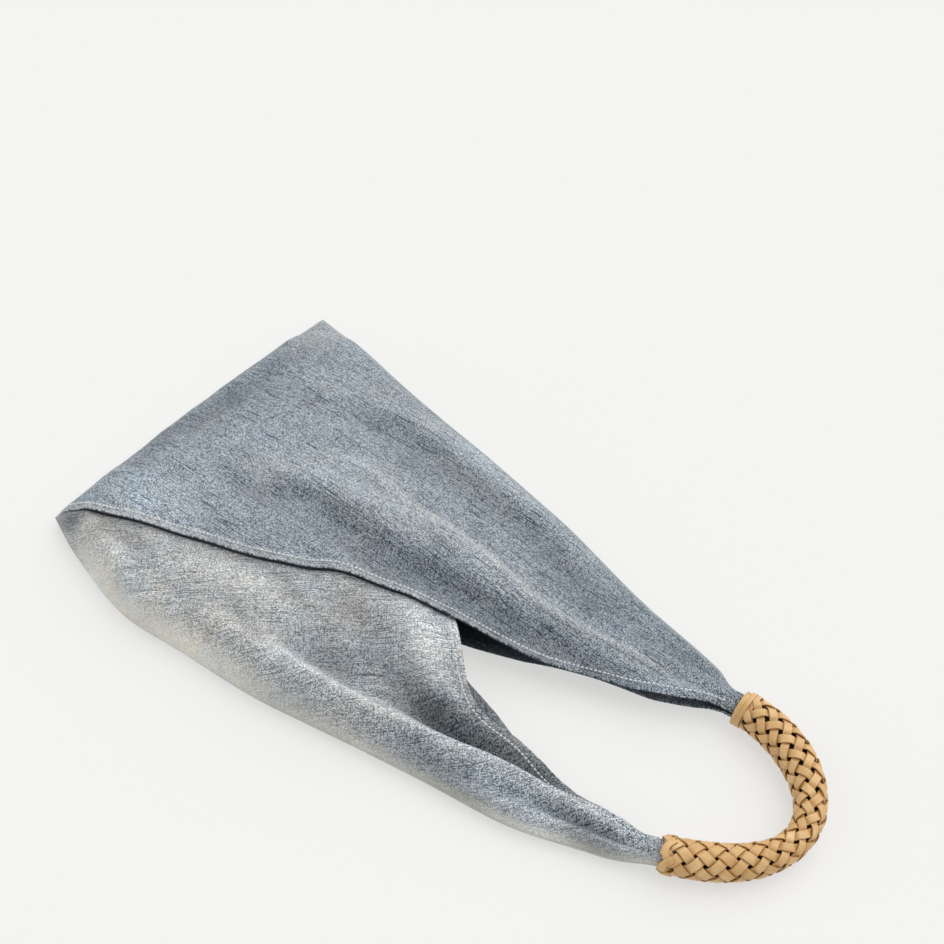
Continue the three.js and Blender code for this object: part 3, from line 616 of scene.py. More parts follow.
def cloth_fields(plan, half, top, x, y):
    """The cloth's fields at each place, as sums of bell curves and soft steps.

    washed: most on the lower half, less towards its ear, its bottom edge and its outer fold.
    worn: wear on the outer folds and creases, painted highlight on the ridges and creases,
    and painted bounce light on the lower half's pale fold edge.
    faded: painted shade in fold valleys and painted highlight on ridges, darker towards
    the ears and the lower half's bottom edge, paler by the lower half's front rim, plus the painted shade and
    light of the patches.
    covered: how far the cloth lies under the hem over it, in millimetres."""
    low = y - plan.lower_fold(x)
    far = plan.past(x, 0.6, 1.5)
    outer = np.minimum(np.minimum(np.abs(plan.upper_fold(x) - y), np.abs(low)), x)
    worn = 0.4 * bell(outer, 0.004)
    if half == UPPER:
        washed = 0.1 * smoothstep(x, 0, plan.along(0.3)) * (1 - far)
        worn = np.maximum(worn, 0.25 * plan.spot(x, y, 0.075, 0.83, 0.026, 0.026))
    else:
        washed = (1 - 0.6 * far - 0.45 * bell(x, 0.035) - 0.2 * plan.spot(x, y, 0.86, -0.56, 0.055, 0.04)
                  - 0.3 * bell(low, 0.05) * plan.past(x, 0.35, 0.75))
        # Painted bounce light, partly wear: the lower half's fold edge takes the pale colour.
        cream = plan.past(x, 0.08, 0.2) * (1 - 0.6 * plan.past(x, 0.5, 1.1))
        worn = np.maximum(worn, cream * bell(low, mix(0.011, 0.007, far)))
        worn = np.maximum(worn, 0.75 * bell(low, 0.0045) * plan.past(x, 0.25, 0.5))

    # Painted shade in the valleys and painted highlight on the ridges, from the height of the folds.
    folded = np.clip(plan.folds(x, y) / FOLD_SHADE_HEIGHT, *FOLD_SHADE_LIMITS[half]) if top else np.zeros_like(x)
    faded = folded - EAR_SHADE[half] * far
    covered = np.full_like(x, UNCOVERED)
    if half == LOWER:
        faded = faded - 0.9 * bell(x, 0.022)
    if half == LOWER and top:
        faded = faded + 0.5 * smoothstep(y, plan.across(-0.42), plan.across(-0.2)) * plan.past(x, 0.86, 1.0)
        # Painted shadow under the front hem: how far the cloth lies under it, which the material darkens.
        under = np.clip(1000 * (y - plan.front_hem(x)), -20, 20) - 40 * smoothstep(-x, -0.006, -0.002)
        covered = np.where(x < plan.s.body_length, under, UNCOVERED)
    # Painted highlight on the ridges of the folds.
    worn = worn + 0.2 * np.maximum(folded, 0)
    if top:
        # Painted shade and light of the patches.
        faded = faded + sum(strength * plan.spot(x, y, *place) for *place, strength in SHADE_PATCHES[half])
        worn = worn + plan.rub_and_highlight(x, y) * CREASE_PALENESS[half]
    return {"washed": np.clip(washed, 0, 1), "worn": np.clip(worn, 0, 1), "faded": faded, "covered": covered}


def grid_triangles(points, first):
    """Two triangles for each cell of a grid of points, split along its shorter diagonal."""
    rows, cols = points.shape[:2]
    index = first + np.arange(rows * cols).reshape(rows, cols)
    a, b = index[:-1, :-1].ravel(), index[1:, :-1].ravel()
    c, d = index[1:, 1:].ravel(), index[:-1, 1:].ravel()
    flat = points.reshape(-1, 3)
    gap = lambda p, q: np.linalg.norm(flat[p - first] - flat[q - first], axis=1)
    near = (gap(a, c) < gap(b, d))[:, None]
    one = np.where(near, np.stack([a, b, c], 1), np.stack([a, b, d], 1))
    two = np.where(near, np.stack([a, c, d], 1), np.stack([b, c, d], 1))
    return np.concatenate([one, two])


def slab(points, triangles, thickness):
    """Closed slab around a middle surface: both faces half the thickness away along the normals, and a
    half-round rim on every open edge. Gives points, faces, the grid points of each face's corners and of each
    point, and which points are on the inner face."""
    whole_microns = np.round(points / 1e-6).astype(np.int64)
    _, first, same = np.unique(whole_microns, axis=0, return_index=True, return_inverse=True)
    same = same.ravel()
    faces = same[triangles]
    whole = (faces[:, 0] != faces[:, 1]) & (faces[:, 1] != faces[:, 2]) & (faces[:, 2] != faces[:, 0])
    faces, corners = faces[whole], triangles[whole]
    middle, count = points[first], len(first)
    normals = np.zeros_like(middle)
    across = np.cross(middle[faces[:, 1]] - middle[faces[:, 0]], middle[faces[:, 2]] - middle[faces[:, 0]])
    for k in range(3):
        np.add.at(normals, faces[:, k], across)
    normals = unit(normals)

    ends = np.concatenate([np.stack([faces[:, k], faces[:, (k + 1) % 3]], 1) for k in range(3)])
    sources = np.concatenate([np.stack([corners[:, k], corners[:, (k + 1) % 3]], 1) for k in range(3)])
    code, back = ends[:, 0] * count + ends[:, 1], ends[:, 1] * count + ends[:, 0]
    free = ~np.isin(code, back)
    ends, sources = ends[free], sources[free]
    outward = np.zeros_like(middle)
    side = np.cross(unit(middle[ends[:, 1]] - middle[ends[:, 0]]), normals[ends[:, 0]])
    np.add.at(outward, ends[:, 0], side)
    np.add.at(outward, ends[:, 1], side)
    rim = np.unique(ends)
    place = np.zeros(count, int)
    place[rim] = np.arange(len(rim))
    r = thickness / 2
    turns = np.radians([45, 0, -45])
    rims = [middle[rim] + r * (np.sin(t) * normals[rim] + np.cos(t) * unit(outward[rim])) for t in turns]
    verts = np.concatenate([middle + r * normals, middle - r * normals] + rims)
    origin = np.concatenate([first, first] + [first[rim]] * len(turns))

    level = [lambda v: v] + [lambda v, k=k: 2 * count + k * len(rim) + place[v] for k in range(len(turns))]
    level.append(lambda v: v + count)
    a, b = ends.T
    walls = np.concatenate([np.stack([up(b), up(a), low(a), low(b)], 1) for up, low in zip(level, level[1:])])
    wall_sources = np.tile(sources[:, [1, 0, 0, 1]], (len(level) - 1, 1))
    polygons = [faces, faces[:, ::-1] + count, walls]
    inner = np.concatenate([np.zeros(count), np.ones(count), np.zeros(len(rim) * len(turns))])
    return verts, polygons, [corners, corners[:, ::-1], wall_sources], origin, inner


def new_piece(plan, name, slot, finish, verts, polygons, uv, fields=None):
    """A smooth mesh object from whole arrays: points on the plan, polygons of equal size in each array, a UV
    pair for each polygon corner and a value for each point."""
    mesh = bpy.data.meshes.new(name)
    loops = np.concatenate([p.ravel() for p in polygons]).astype(np.int32)
    sizes = np.concatenate([np.full(len(p), p.shape[1]) for p in polygons])
    mesh.vertices.add(len(verts))
    mesh.vertices.foreach_set("co", (verts + plan.origin).astype(np.float32).ravel())
    mesh.loops.add(len(loops))
    mesh.loops.foreach_set("vertex_index", loops)
    mesh.polygons.add(len(sizes))
    mesh.polygons.foreach_set("loop_start", np.concatenate([[0], np.cumsum(sizes)[:-1]]).astype(np.int32))
    mesh.polygons.foreach_set("use_smooth", np.ones(len(sizes), bool))
    mesh.uv_layers.new(name="grain").data.foreach_set("uv", uv.astype(np.float32).ravel())
    for key, values in (fields or {}).items():
        layer = mesh.attributes.new(key, "FLOAT", "POINT")
        layer.data.foreach_set("value", values.astype(np.float32).ravel())
    mesh.update(calc_edges=True)
    if mesh.validate():
        raise RuntimeError(f"{name} has faulty faces")
    mesh.materials.append(finish)
    piece = bpy.data.objects.new(name, mesh)
    bpy.context.collection.objects.link(piece)
    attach(piece, "root")
    return piece


def tube_faces(rows, cols):
    """Faces of a closed tube of rings with cols points each: quads between them and a polygon on each end."""
    index = np.arange(rows * cols).reshape(rows, cols)
    nxt = np.roll(index, -1, 1)
    quads = np.stack([index[:-1], nxt[:-1], nxt[1:], index[1:]], -1).reshape(-1, 4)
    return quads, np.stack([index[0, ::-1], index[-1]])


def corner_uvs(flat, polygons):
    """The UV pair of each corner of the polygons, from a pair for each point."""
    return np.concatenate([flat.reshape(-1, 2)[p].reshape(-1, 2) for p in polygons])


def tube_arrays(rings, uv_along, uv_around):
    """Closed skin over rings of equal size, with lengths along and around it as its UV map."""
    polygons = tube_faces(*rings.shape[:2])
    flat = np.stack(np.broadcast_arrays(uv_along[:, None], uv_around[None]), -1)
    return rings.reshape(-1, 3), polygons, corner_uvs(flat, polygons)


def join_arrays(parts):
    """Several sets of points, polygons and corner UVs as one mesh's arrays."""
    verts, polygons, uvs, shift = [], [], [], 0
    for points, polys, uv in parts:
        verts.append(points)
        polygons.extend(p + shift for p in polys)
        uvs.append(uv)
        shift += len(points)
    return np.concatenate(verts), polygons, np.concatenate(uvs)


class NodeGraph:
    """Short calls for the nodes of one node tree."""

    def __init__(self, tree):
        self.tree = tree

    def node(self, kind, inputs=None, **settings):
        """A new node with its settings and inputs."""
        made = self.tree.nodes.new("ShaderNode" + kind)
        for key, value in settings.items():
            setattr(made, key, value)
        for key, value in (inputs or {}).items():
            self.put(made.inputs[key], value)
        return made

    def put(self, socket, value):
        """Links a socket to another node's, or sets its value."""
        if isinstance(value, bpy.types.NodeSocket):
            self.tree.links.new(value, socket)
        elif isinstance(value, (tuple, list)) and len(value) == 3 and socket.type == "RGBA":
            socket.default_value = (*value, 1)
        else:
            socket.default_value = value

    def math(self, operation, a, b=0.0, clamp=False):
        """One operation on one or two values."""
        return self.node("Math", {0: a, 1: b}, operation=operation, use_clamp=clamp).outputs[0]

    def seen(self):
        """1 for the rays that show a surface to the eye: from the camera, or by way of gloss or glass."""
        path = self.node("LightPath").outputs
        direct = self.math("ADD", path["Is Camera Ray"], path["Is Glossy Ray"])
        return self.math("ADD", direct, path["Is Transmission Ray"], True)

    def surface(self, output, share, first, second):
        """Puts a mix of two shaders on the tree's output."""
        both = self.node("MixShader", {0: share, 1: first.outputs[0], 2: second.outputs[0]})
        self.put(self.tree.nodes[output].inputs["Surface"], both.outputs[0])


class MaterialGraph(NodeGraph):
    """A node material, with short calls for its textures."""

    def __init__(self, name):
        self.material = bpy.data.materials.new(name)
        self.material.use_nodes = True
        super().__init__(self.material.node_tree)
        self.shader = self.tree.nodes["Principled BSDF"]

    def shade(self, **values):
        """Sets the shader's own sockets."""
        for key, value in values.items():
            self.put(self.shader.inputs[key.replace("_", " ")], value)

    def flat(self):
        """The piece's own flat coordinates."""
        return self.node("UVMap", uv_map="grain").outputs["UV"]

    def place(self):
        """Places in the object's space."""
        return self.node("TexCoord").outputs["Object"]

    def field(self, name):
        """A value that each point of the piece has."""
        return self.node("Attribute", attribute_name=name).outputs["Fac"]

    def noise(self, vector, scale, detail=2.0, rough=0.5):
        """Soft noise with so many waves a metre in each direction."""
        inputs = {"Vector": self.stretched(vector, scale), "Scale": 1.0, "Detail": detail, "Roughness": rough}
        return self.node("TexNoise", inputs).outputs["Fac"]

    def stretched(self, vector, scale):
        """Coordinates scaled in each direction."""
        return self.node("Mapping", {"Vector": vector, "Scale": scale}).outputs["Vector"]

    def remap(self, value, low, high, to_low=0.0, to_high=1.0):
        """A value carried from one range to another, and held at its ends."""
        return self.node("MapRange", {"Value": value, "From Min": low, "From Max": high, "To Min": to_low,
                                      "To Max": to_high}).outputs["Result"]

    def blend(self, share, a, b, how="MIX"):
        """A blend of two colours."""
        made = self.node("Mix", data_type="RGBA", blend_type=how)
        for socket, value in zip((made.inputs["Factor"], made.inputs[6], made.inputs[7]), (share, a, b)):
            self.put(socket, value)
        return made.outputs[2]

    def weighted(self, *pairs):
        """Sum of values, each times its weight."""
        total = None
        for value, weight in pairs:
            part = self.math("MULTIPLY", value, weight)
            total = part if total is None else self.math("ADD", total, part)
        return total

    def bump(self, height, strength, distance):
        """Fine relief on the surface."""
        relief = self.node("Bump", {"Height": height, "Strength": strength, "Distance": distance})
        self.put(self.shader.inputs["Normal"], relief.outputs["Normal"])


def denim_material(colours):
    """Washed slub denim: single yarn floats, long uneven slub yarns and short cross yarns on the cloth's own
    coordinates, with a cloudy wash, a paler half, wear and painted highlight on hems and folds, painted
    bounce light, painted shade and highlight of the folds, and painted shade on inner faces and under the
    lap."""
    g = MaterialGraph("washed_slub_denim")
    flat, place = g.flat(), g.place()
    washed, worn, faded, inside, covered = map(g.field, ("washed", "worn", "faded", "inside", "covered"))

    # Textures: single floats and specks, long slubs and dark ends, cross yarns, then the slow wash.
    floats = g.node("TexVoronoi", {"Vector": g.stretched(flat, (1700, 2050, 1)), "Scale": 1.0})
    cell = g.node("SeparateColor", {0: floats.outputs["Color"]}).outputs[0]
    speck = g.noise(flat, (1650, 2200, 1), 1, 0.7)
    slub = g.noise(flat, (85, 1450, 1), 1)
    ends = g.noise(flat, (26, 1000, 1), 1)
    cross = g.noise(flat, (760, 90, 1), 1.5)
    clouds = g.noise(place, (17, 17, 17), 4, 0.62)
    streaks = g.noise(flat, (11, 70, 1), 3, 0.6)
    warmth = g.noise(place, (26, 26, 26), 3, 0.6)
    sway = g.noise(flat, (60, 60, 1), 1)

    # Yarns: how pale each place of the weave is, from 0 to 1.
    flat_parts = g.node("SeparateXYZ", {0: flat}).outputs
    weft = g.math("SINE", g.weighted((flat_parts["Y"], 3500.0), (sway, 5.0)))
    warp = g.math("SINE", g.weighted((flat_parts["X"], 3000.0), (sway, 5.0)))
    drawn = g.math("MULTIPLY", g.remap(slub, 0.3, 0.7, -1, 1), g.remap(washed, 0, 1, 0.13, 0.24))
    lines = g.weighted((drawn, 1.0), (g.remap(ends, 0.385, 0.32), -0.5), (g.remap(ends, 0.64, 0.7), 0.2),
                       (g.remap(cross, 0.42, 0.3), -0.14), (weft, 0.07), (warp, 0.05))
    grains = g.weighted((g.remap(cell, 0.12, 0.88, -0.2, 1.2), 0.66), (g.remap(speck, 0.35, 0.65), 0.36))
    yarn = g.remap(g.math("ADD", grains, lines), 0.26, 0.85)

    # Colour: pale on dark yarn, with wear, painted highlight and bounce light, shaded by the wash and by the
    # painted shade and highlight of the folds and patches, and painted shade under the hems and on inner
    # faces.
    deep = g.blend(washed, tuple(colours.denim_deep), tuple(colours.washed_deep))
    pale = g.blend(washed, tuple(colours.denim_pale), tuple(colours.washed_pale))
    cloth = g.blend(yarn, deep, pale)
    # Wear, painted highlight and painted bounce light blend the cloth to the pale wear colour.
    rub_and_painted_light = g.math("MULTIPLY", worn, g.remap(cell, 0.0, 0.6, 0.55, 1.0), True)
    cloth = g.blend(rub_and_painted_light, cloth, tuple(colours.worn))
    cloudy, streaky = g.remap(clouds, 0.3, 0.7, 0.88, 1.1), g.remap(streaks, 0.3, 0.7, -0.07, 0.07)
    shade = g.weighted((cloudy, 1.0), (streaky, 1.0), (faded, 0.36))
    warm = g.math("MULTIPLY", g.remap(warmth, 0.35, 0.65, -0.045, 0.045), g.remap(washed, 0, 1, 0.4, 1.0))
    red, blue = g.math("ADD", shade, warm), g.math("SUBTRACT", shade, warm)
    tint = g.node("CombineColor", {0: red, 1: shade, 2: blue})
    tinted = g.blend(1.0, cloth, tint.outputs[0], "MULTIPLY")
    # Painted shade: inner faces, hem undersides and the cloth under a hem, to just past its edge, go dark.
    painted_shade_share = g.math("MAXIMUM", inside, g.remap(covered, -0.7, 0.1))
    inner = g.math("MULTIPLY", painted_shade_share, g.remap(speck, 0.3, 0.7, 1.0, 0.85), True)
    g.shade(Base_Color=g.blend(inner, tinted, tuple(colours.inside)),
            Roughness=g.remap(yarn, 0, 1, 0.95, 0.82), Specular_IOR_Level=0.2,
            Sheen_Weight=0.08, Sheen_Roughness=0.6)
    g.bump(yarn, 0.45, 0.0005)
    return g.material


def thread_material(colours):
    """Cotton thread, twisted: fine slanting grooves along each stitch."""
    g = MaterialGraph("cotton_thread")
    along = g.stretched(g.flat(), (900, 0.35, 1))
    twist = g.node("TexWave", {"Vector": along, "Scale": 1.0, "Distortion": 0.5},
                   bands_direction="DIAGONAL").outputs["Fac"]
    soil = g.noise(g.place(), (55, 55, 55), 2)
    dark = tuple(0.8 * c for c in colours.thread)
    g.shade(Base_Color=g.blend(g.remap(soil, 0.3, 0.7), dark, tuple(colours.thread)),
            Roughness=g.remap(twist, 0, 1, 0.85, 0.7), Sheen_Weight=0.1)
    g.bump(twist, 0.4, 0.0002)
    return g.material


def leather_material(colours):
    """Tan leather lace: faint grain and streaks along it, darker cut edges, and a paler face where it rises
    over a crossing, partly wear and partly painted highlight."""
    g = MaterialGraph("tan_lace_leather")
    flat, place = g.flat(), g.place()
    side = g.node("SeparateXYZ", {0: flat}).outputs["Y"]
    raised = g.field("raised")
    patch = g.noise(place, (60, 60, 60), 4, 0.6)
    streak = g.noise(flat, (70, 3.0, 1), 3)
    grain_fine = g.noise(place, (1500, 1500, 1500), 2)
    pores = g.node("TexVoronoi", {"Vector": place, "Scale": 1100.0}).outputs["Distance"]
    # Painted highlight, partly wear: paler where the lace rises over a crossing.
    rub_and_painted_light = g.math("MULTIPLY", g.remap(raised, 0.2, 1.0), g.remap(patch, 0.32, 0.68, 0.15, 1.0), True)
    face = g.blend(rub_and_painted_light, tuple(colours.leather), tuple(colours.leather_pale))
    dull = g.remap(g.weighted((streak, 0.6), (patch, 0.4)), 0.3, 0.7)
    dulled = tuple(0.55 * a + 0.45 * b for a, b in zip(colours.leather, colours.leather_edge))
    face = g.blend(g.math("MULTIPLY", dull, 0.35), face, dulled)
    edge = g.remap(g.math("ABSOLUTE", side), 0.84, 1.0)
    polish = g.weighted((patch, 0.6), (grain_fine, 0.4))
    g.shade(Base_Color=g.blend(edge, face, tuple(colours.leather_edge)),
            Roughness=g.remap(polish, 0.3, 0.7, 0.33, 0.52), Specular_IOR_Level=0.5)
    g.bump(g.weighted((grain_fine, 0.5), (pores, 0.25), (streak, 0.5)), 0.35, 0.0004)
    return g.material


def filler_material(colours):
    """Dark matt cord: fine fibres that run with its lay."""
    g = MaterialGraph("dark_filler_cord")
    fibre = g.noise(g.flat(), (120, 900, 1), 2)
    # Partly painted shade: a nearly black cord, so the braid's holes look as dark as the shade in them.
    dark, pale = (tuple(share * c for c in colours.filler) for share in (0.6, 1.5))
    g.shade(Base_Color=g.blend(fibre, dark, pale),
            Roughness=g.remap(fibre, 0.3, 0.7, 0.98, 0.88), Specular_IOR_Level=0.1)
    g.bump(fibre, 0.4, 0.0003)
    return g.material


# Share of its own colour that the floor shows without shade.
FLOOR_GLOW = 0.63


def floor_material(colours):
    """Plain pale matt floor, faintly mottled, which shows the eye a share of its own colour without shade."""
    g = MaterialGraph("pale_floor")
    mottle = g.noise(g.place(), (3, 3, 3), 3)
    low = tuple(0.992 * c for c in colours.floor)
    g.shade(Base_Color=g.blend(mottle, low, tuple(colours.floor)), Roughness=0.95, Specular_IOR_Level=0.0)
    glow = g.node("Emission", {"Color": tuple(colours.floor), "Strength": 1.0})
    g.surface("Material Output", g.math("MULTIPLY", g.seen(), FLOOR_GLOW), g.shader, glow)
    return g.material


def material(name, make, scene):
    """The named material, made once."""
    return bpy.data.materials.get(name) or make(scene.bag_colours)


def hem_path(plan, half, top, start, end, step):
    """Even steps along a panel's free edge between two places: x of each step and the length so far."""
    x = np.linspace(start, end, EDGE_POINTS)
    y = plan.edge(half, top, x)
    run = run_length(plan.lay(half, top, x, y))
    count = max(int(run[-1] / step), 2)
    length = np.linspace(0, run[-1], count + 1)
    return np.interp(length, run, x), length


# Waves of a sewn hem's ripple: length in metres, share of the height, share of the phase.
PUCKER_WAVES = [(0.0132, 0.5, 1), (0.0087, 0.3, 2.1), (0.0217, 0.2, 0.7)]
PUCKER_HEIGHT = 0.00035
# How far a hem's edge wanders from its line.
HEM_WANDER = 0.0005


def pucker(length, phase):
    """Uneven ripple along a sewn hem, between -1 and 1: three waves of different length."""
    return sum(share * np.sin(2 * np.pi * length / wave + shift * phase)
               for wave, share, shift in PUCKER_WAVES)


# Section of a turned hem: distance inside the edge as a share of the hem, and height over the cloth's middle.
HEM_SECTION = np.array([
    (1.05, 0.0001), (1.0, 0.00074), (0.9, 0.0009), (0.79, 0.00092), (0.69, 0.00078), (0.59, 0.00094),
    (0.42, 0.00108), (0.2, 0.00108), (0.06, 0.00085), (-0.04, 0.0003), (-0.06, -0.0004), (-0.04, -0.0010),
    (0.05, -0.0013), (0.3, -0.0015), (0.7, -0.0015), (0.95, -0.0012), (1.02, -0.0007),
])
# Painted shade under a hem: how dark it is on the top layer, and on the under layer of each half, with the
# shares along the bag between which it gets paler.
UNDER_TOP_HEM = 0.96
UNDER_BACK_HEM = {UPPER: (0.8, 1.5, 1.65), LOWER: (0.93, 1.02, 1.12)}
# Closeness of the points along a hem and its stitch row, and how far both stop short of handle and corner.
HEM_STEP, ROW_STEP = 0.0016, 0.0005
HEM_START, HEM_STOP, ROW_STOP = 0.0035, 0.002, 0.004
# Least height of a hem and of a stitch above the table.
HEM_LOWEST, STITCH_LOWEST = 5e-5, 2e-5


def hem_lines(plan):
    """The four hems: half, top or under layer, start and end along the bag, and phase of the ripple."""
    upper_end, lower_end = plan.mouth(UPPER) - HEM_STOP, plan.mouth(LOWER) - HEM_STOP
    return [
        (UPPER, True, HEM_START, upper_end, 0.4), (LOWER, True, plan.s.body_length - 0.006, lower_end, 1.9),
        (UPPER, False, plan.back_crotch + 0.0005, upper_end, 3.1), (LOWER, False, HEM_START, lower_end, 4.6),
    ]


def edge_place(plan, half, top, x, inside):
    """Place across the bag a given distance inside a panel's free edge, measured square to that edge."""
    step = 1e-3
    slope = (plan.edge(half, top, x + step) - plan.edge(half, top, x - step)) / (2 * step)
    slope = np.clip(slope, -3, 3)
    width = plan.fold(half, x) - plan.edge(half, top, x)
    inside = np.minimum(inside * np.sqrt(1 + slope**2), 0.8 * np.abs(width))
    return plan.edge(half, top, x) + np.sign(width) * inside


def hem_band(plan, half, top, start, end, phase):
    """A turned hem: a closed section around the panel's edge strip, carried along the edge, with the dent of
    its stitch row and the puckers of its seam."""
    x, length = hem_path(plan, half, top, start, end, HEM_STEP)
    wave = pucker(length, phase)
    inside, lift = HEM_SECTION.T
    wander = HEM_WANDER * pucker(length * 0.37, phase + 1)
    reach = plan.s.hem * inside[None] + wander[:, None] * bell(inside[None], 0.4)
    grid = np.broadcast_to(x[:, None], reach.shape)
    y = edge_place(plan, half, top, grid, reach)
    points, normals = plan.lay_with_normal(half, top, grid, y)
    ripple = PUCKER_HEIGHT * wave[:, None] * bell(inside[None] - 0.35, 0.35) * (lift[None] > 0)
    rings = points + normals * (lift[None] + ripple)[..., None]
    rings[..., 2] = np.maximum(rings[..., 2], HEM_LOWEST)
    if (half == UPPER) != top:
        rings, inside, lift, y = rings[:, ::-1], inside[::-1], lift[::-1], y[:, ::-1]
    polygons = tube_faces(*rings.shape[:2])
    uv = corner_uvs(grain(grid, y if top else -y, half), polygons)
    fields = cloth_fields(plan, half, top, grid, y)
    # Wear along the hem, with a painted highlight on its outer edge.
    rub_and_highlight = 0.1 + 0.1 * wave[:, None] + 0.45 * bell(inside[None] - 0.1, 0.1)
    rub_and_highlight = rub_and_highlight * (1 - 0.75 * plan.past(x, 1.1, 1.3))[:, None]
    fields["worn"] = np.clip(rub_and_highlight * (lift[None] > 0), 0, 1)
    dark = np.full_like(x, UNDER_TOP_HEM)
    if not top:
        darkest, pale_from, pale_to = UNDER_BACK_HEM[half]
        dark = darkest - 0.5 * plan.past(x, pale_from, pale_to)
    # Painted shade on the undersides of the hem.
    fields["inside"] = np.where(lift < -0.0002, 1.0, 0.0)[None] * dark[:, None]
    fields["covered"] = np.full_like(y, UNCOVERED)
    fields = {key: np.broadcast_to(values, grid.shape).ravel() for key, values in fields.items()}
    return rings.reshape(-1, 3), polygons, uv, fields


# Rings of one stitch from end to end: rise and girth, as shares of half the thread. Then the height of the
# cloth under the stitch, the share of the pitch that shows, and the sides of the thread.
STITCH_RISE = np.array([-0.5, 0.55, 0.8, 0.55, -0.5])
STITCH_GIRTH = np.array([0.8, 1, 1.05, 1, 0.8])
STITCH_BASE, STITCH_SHARE, STITCH_SIDES = 0.00094, 0.7, 6


def stitch_row(plan, half, top, start, end):
    """A row of topstitches: short six-sided tubes that rise out of the cloth and dip into it again."""
    pitch, radius = plan.s.stitch_pitch, plan.s.thread / 2
    x, length = hem_path(plan, half, top, start + ROW_STOP, end - ROW_STOP, ROW_STEP)
    middle = np.arange(0.5 * pitch, length[-1] - pitch, pitch)
    run = middle[:, None] + np.linspace(-0.5, 0.5, len(STITCH_RISE)) * STITCH_SHARE * pitch
    at = np.interp(run, length, x)
    y = edge_place(plan, half, top, at, np.full_like(at, plan.s.stitch_row))
    points, normals = plan.lay_with_normal(half, top, at, y)
    aside = np.cross(normals, unit(np.gradient(points, axis=1)))
    rise = STITCH_RISE * radius + STITCH_BASE
    turn = 2 * np.pi * np.arange(STITCH_SIDES) / STITCH_SIDES
    centre = points + normals * rise[None, :, None]
    around = normals[:, :, None] * np.sin(turn)[:, None] + aside[:, :, None] * np.cos(turn)[:, None]
    rings = centre[:, :, None] + (radius * STITCH_GIRTH)[None, :, None, None] * around
    rings[..., 2] = np.maximum(rings[..., 2], STITCH_LOWEST)
    count, rows, cols = rings.shape[:3]
    shift = (np.arange(count) * rows * cols)[:, None, None]
    polygons = [(faces[None] + shift).reshape(-1, faces.shape[1]) for faces in tube_faces(rows, cols)]
    flat = np.stack(np.broadcast_arrays(run[:, :, None], (turn / (2 * np.pi))[None, None]), -1)
    return rings.reshape(-1, 3), polygons, corner_uvs(flat, polygons)


class BAG_OT_denim(Operator):
    """Lay the folded denim strip with its turned hems"""
    bl_idname = "bag.denim"
    bl_label = "Denim"

    def execute(self, context):
        scene = context.scene
        plan = BagPlan(scene)
        finish = material("washed_slub_denim", denim_material, scene)
        points, fields, flat, triangles, first = [], [], [], [], 0
        for half in (UPPER, LOWER):
            grid, values, coordinates = half_strip(plan, half)
            triangles.append(grid_triangles(grid, first))
            first += grid.shape[0] * grid.shape[1]
            points.append(grid.reshape(-1, 3))
            flat.append(coordinates.reshape(-1, 2))
            fields.append({key: value.ravel() for key, value in values.items()})
        points, flat = np.concatenate(points), np.concatenate(flat)
        verts, polygons, corners, origin, inner = slab(points, np.concatenate(triangles), plan.s.cloth)
        uv = corner_uvs(flat, corners)
        values = {key: np.concatenate([f[key] for f in fields])[origin] for key in fields[0]}
        # Painted shade on every inner face of the strip.
        values["inside"] = inner
        cloth = new_piece(plan, "denim_strip", "denim", finish, verts, polygons, uv, values)
        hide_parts("bag_body")

        bands = [hem_band(plan, *hem) for hem in hem_lines(plan)]
        skin = join_arrays([band[:3] for band in bands])
        values = {key: np.concatenate([band[3][key] for band in bands]) for key in bands[0][3]}
        hems = new_piece(plan, "turned_hems", "denim", finish, *skin, values)
        return {"FINISHED"}


class BAG_OT_topstitch(Operator):
    """Sew the rows of topstitches along the hems"""
    bl_idname = "bag.topstitch"
    bl_label = "Topstitches"

    def execute(self, context):
        plan = BagPlan(context.scene)
        finish = material("cotton_thread", thread_material, context.scene)
        rows = [stitch_row(plan, *hem[:4]) for hem in hem_lines(plan)]
        new_piece(plan, "topstitches", "denim", finish, *join_arrays(rows))
        return {"FINISHED"}


# Section of a lace: places across it in shares of half its width, heights in shares of half its thickness.
LACE_SECTION = np.array([
    (1, 0.0), (0.995, 0.55), (0.965, 0.86), (0.88, 0.97), (0.45, 1.0), (0, 1.0), (-0.45, 1.0), (-0.88, 0.97),
    (-0.965, 0.86), (-0.995, 0.55), (-1, 0.0), (-0.99, -0.6), (-0.93, -0.9), (-0.5, -1), (0, -1), (0.5, -1),
    (0.93, -0.9), (0.99, -0.6),
])
LACE_WIDE, LACE_HIGH = LACE_SECTION.T
# UV across a lace: the flat faces end at 0.9, so that only the cut edges count as edge.
LACE_EDGE = LACE_WIDE * np.where(np.abs(LACE_HIGH) > 0.9, 0.9, 1)
# The braid: steps along a lace, how far its ends go under the wraps, the radius to which it draws in there,
# and how abruptly a lace goes from over to under.
LACE_STEPS, LACE_TUCK, DRAWN_RADIUS, WEAVE_SNAP = 236, 0.0045, 0.0122, 2.8
# Uneven lie of each lace: how far it sways sideways, how much it tilts, and how much it curls to the tube.
LACE_SWAY, LACE_TILT, LACE_CURL = 0.0003, 0.09, 0.45


def on_tube(plan, at, angle, radius):
    """Points on a tube about the handle's line, with the direction away from that line."""
    point, left = plan.handle.at(at)
    radial = left * np.cos(angle)[:, None] + UP * np.sin(angle)[:, None]
    return point + radial * radius[:, None], radial


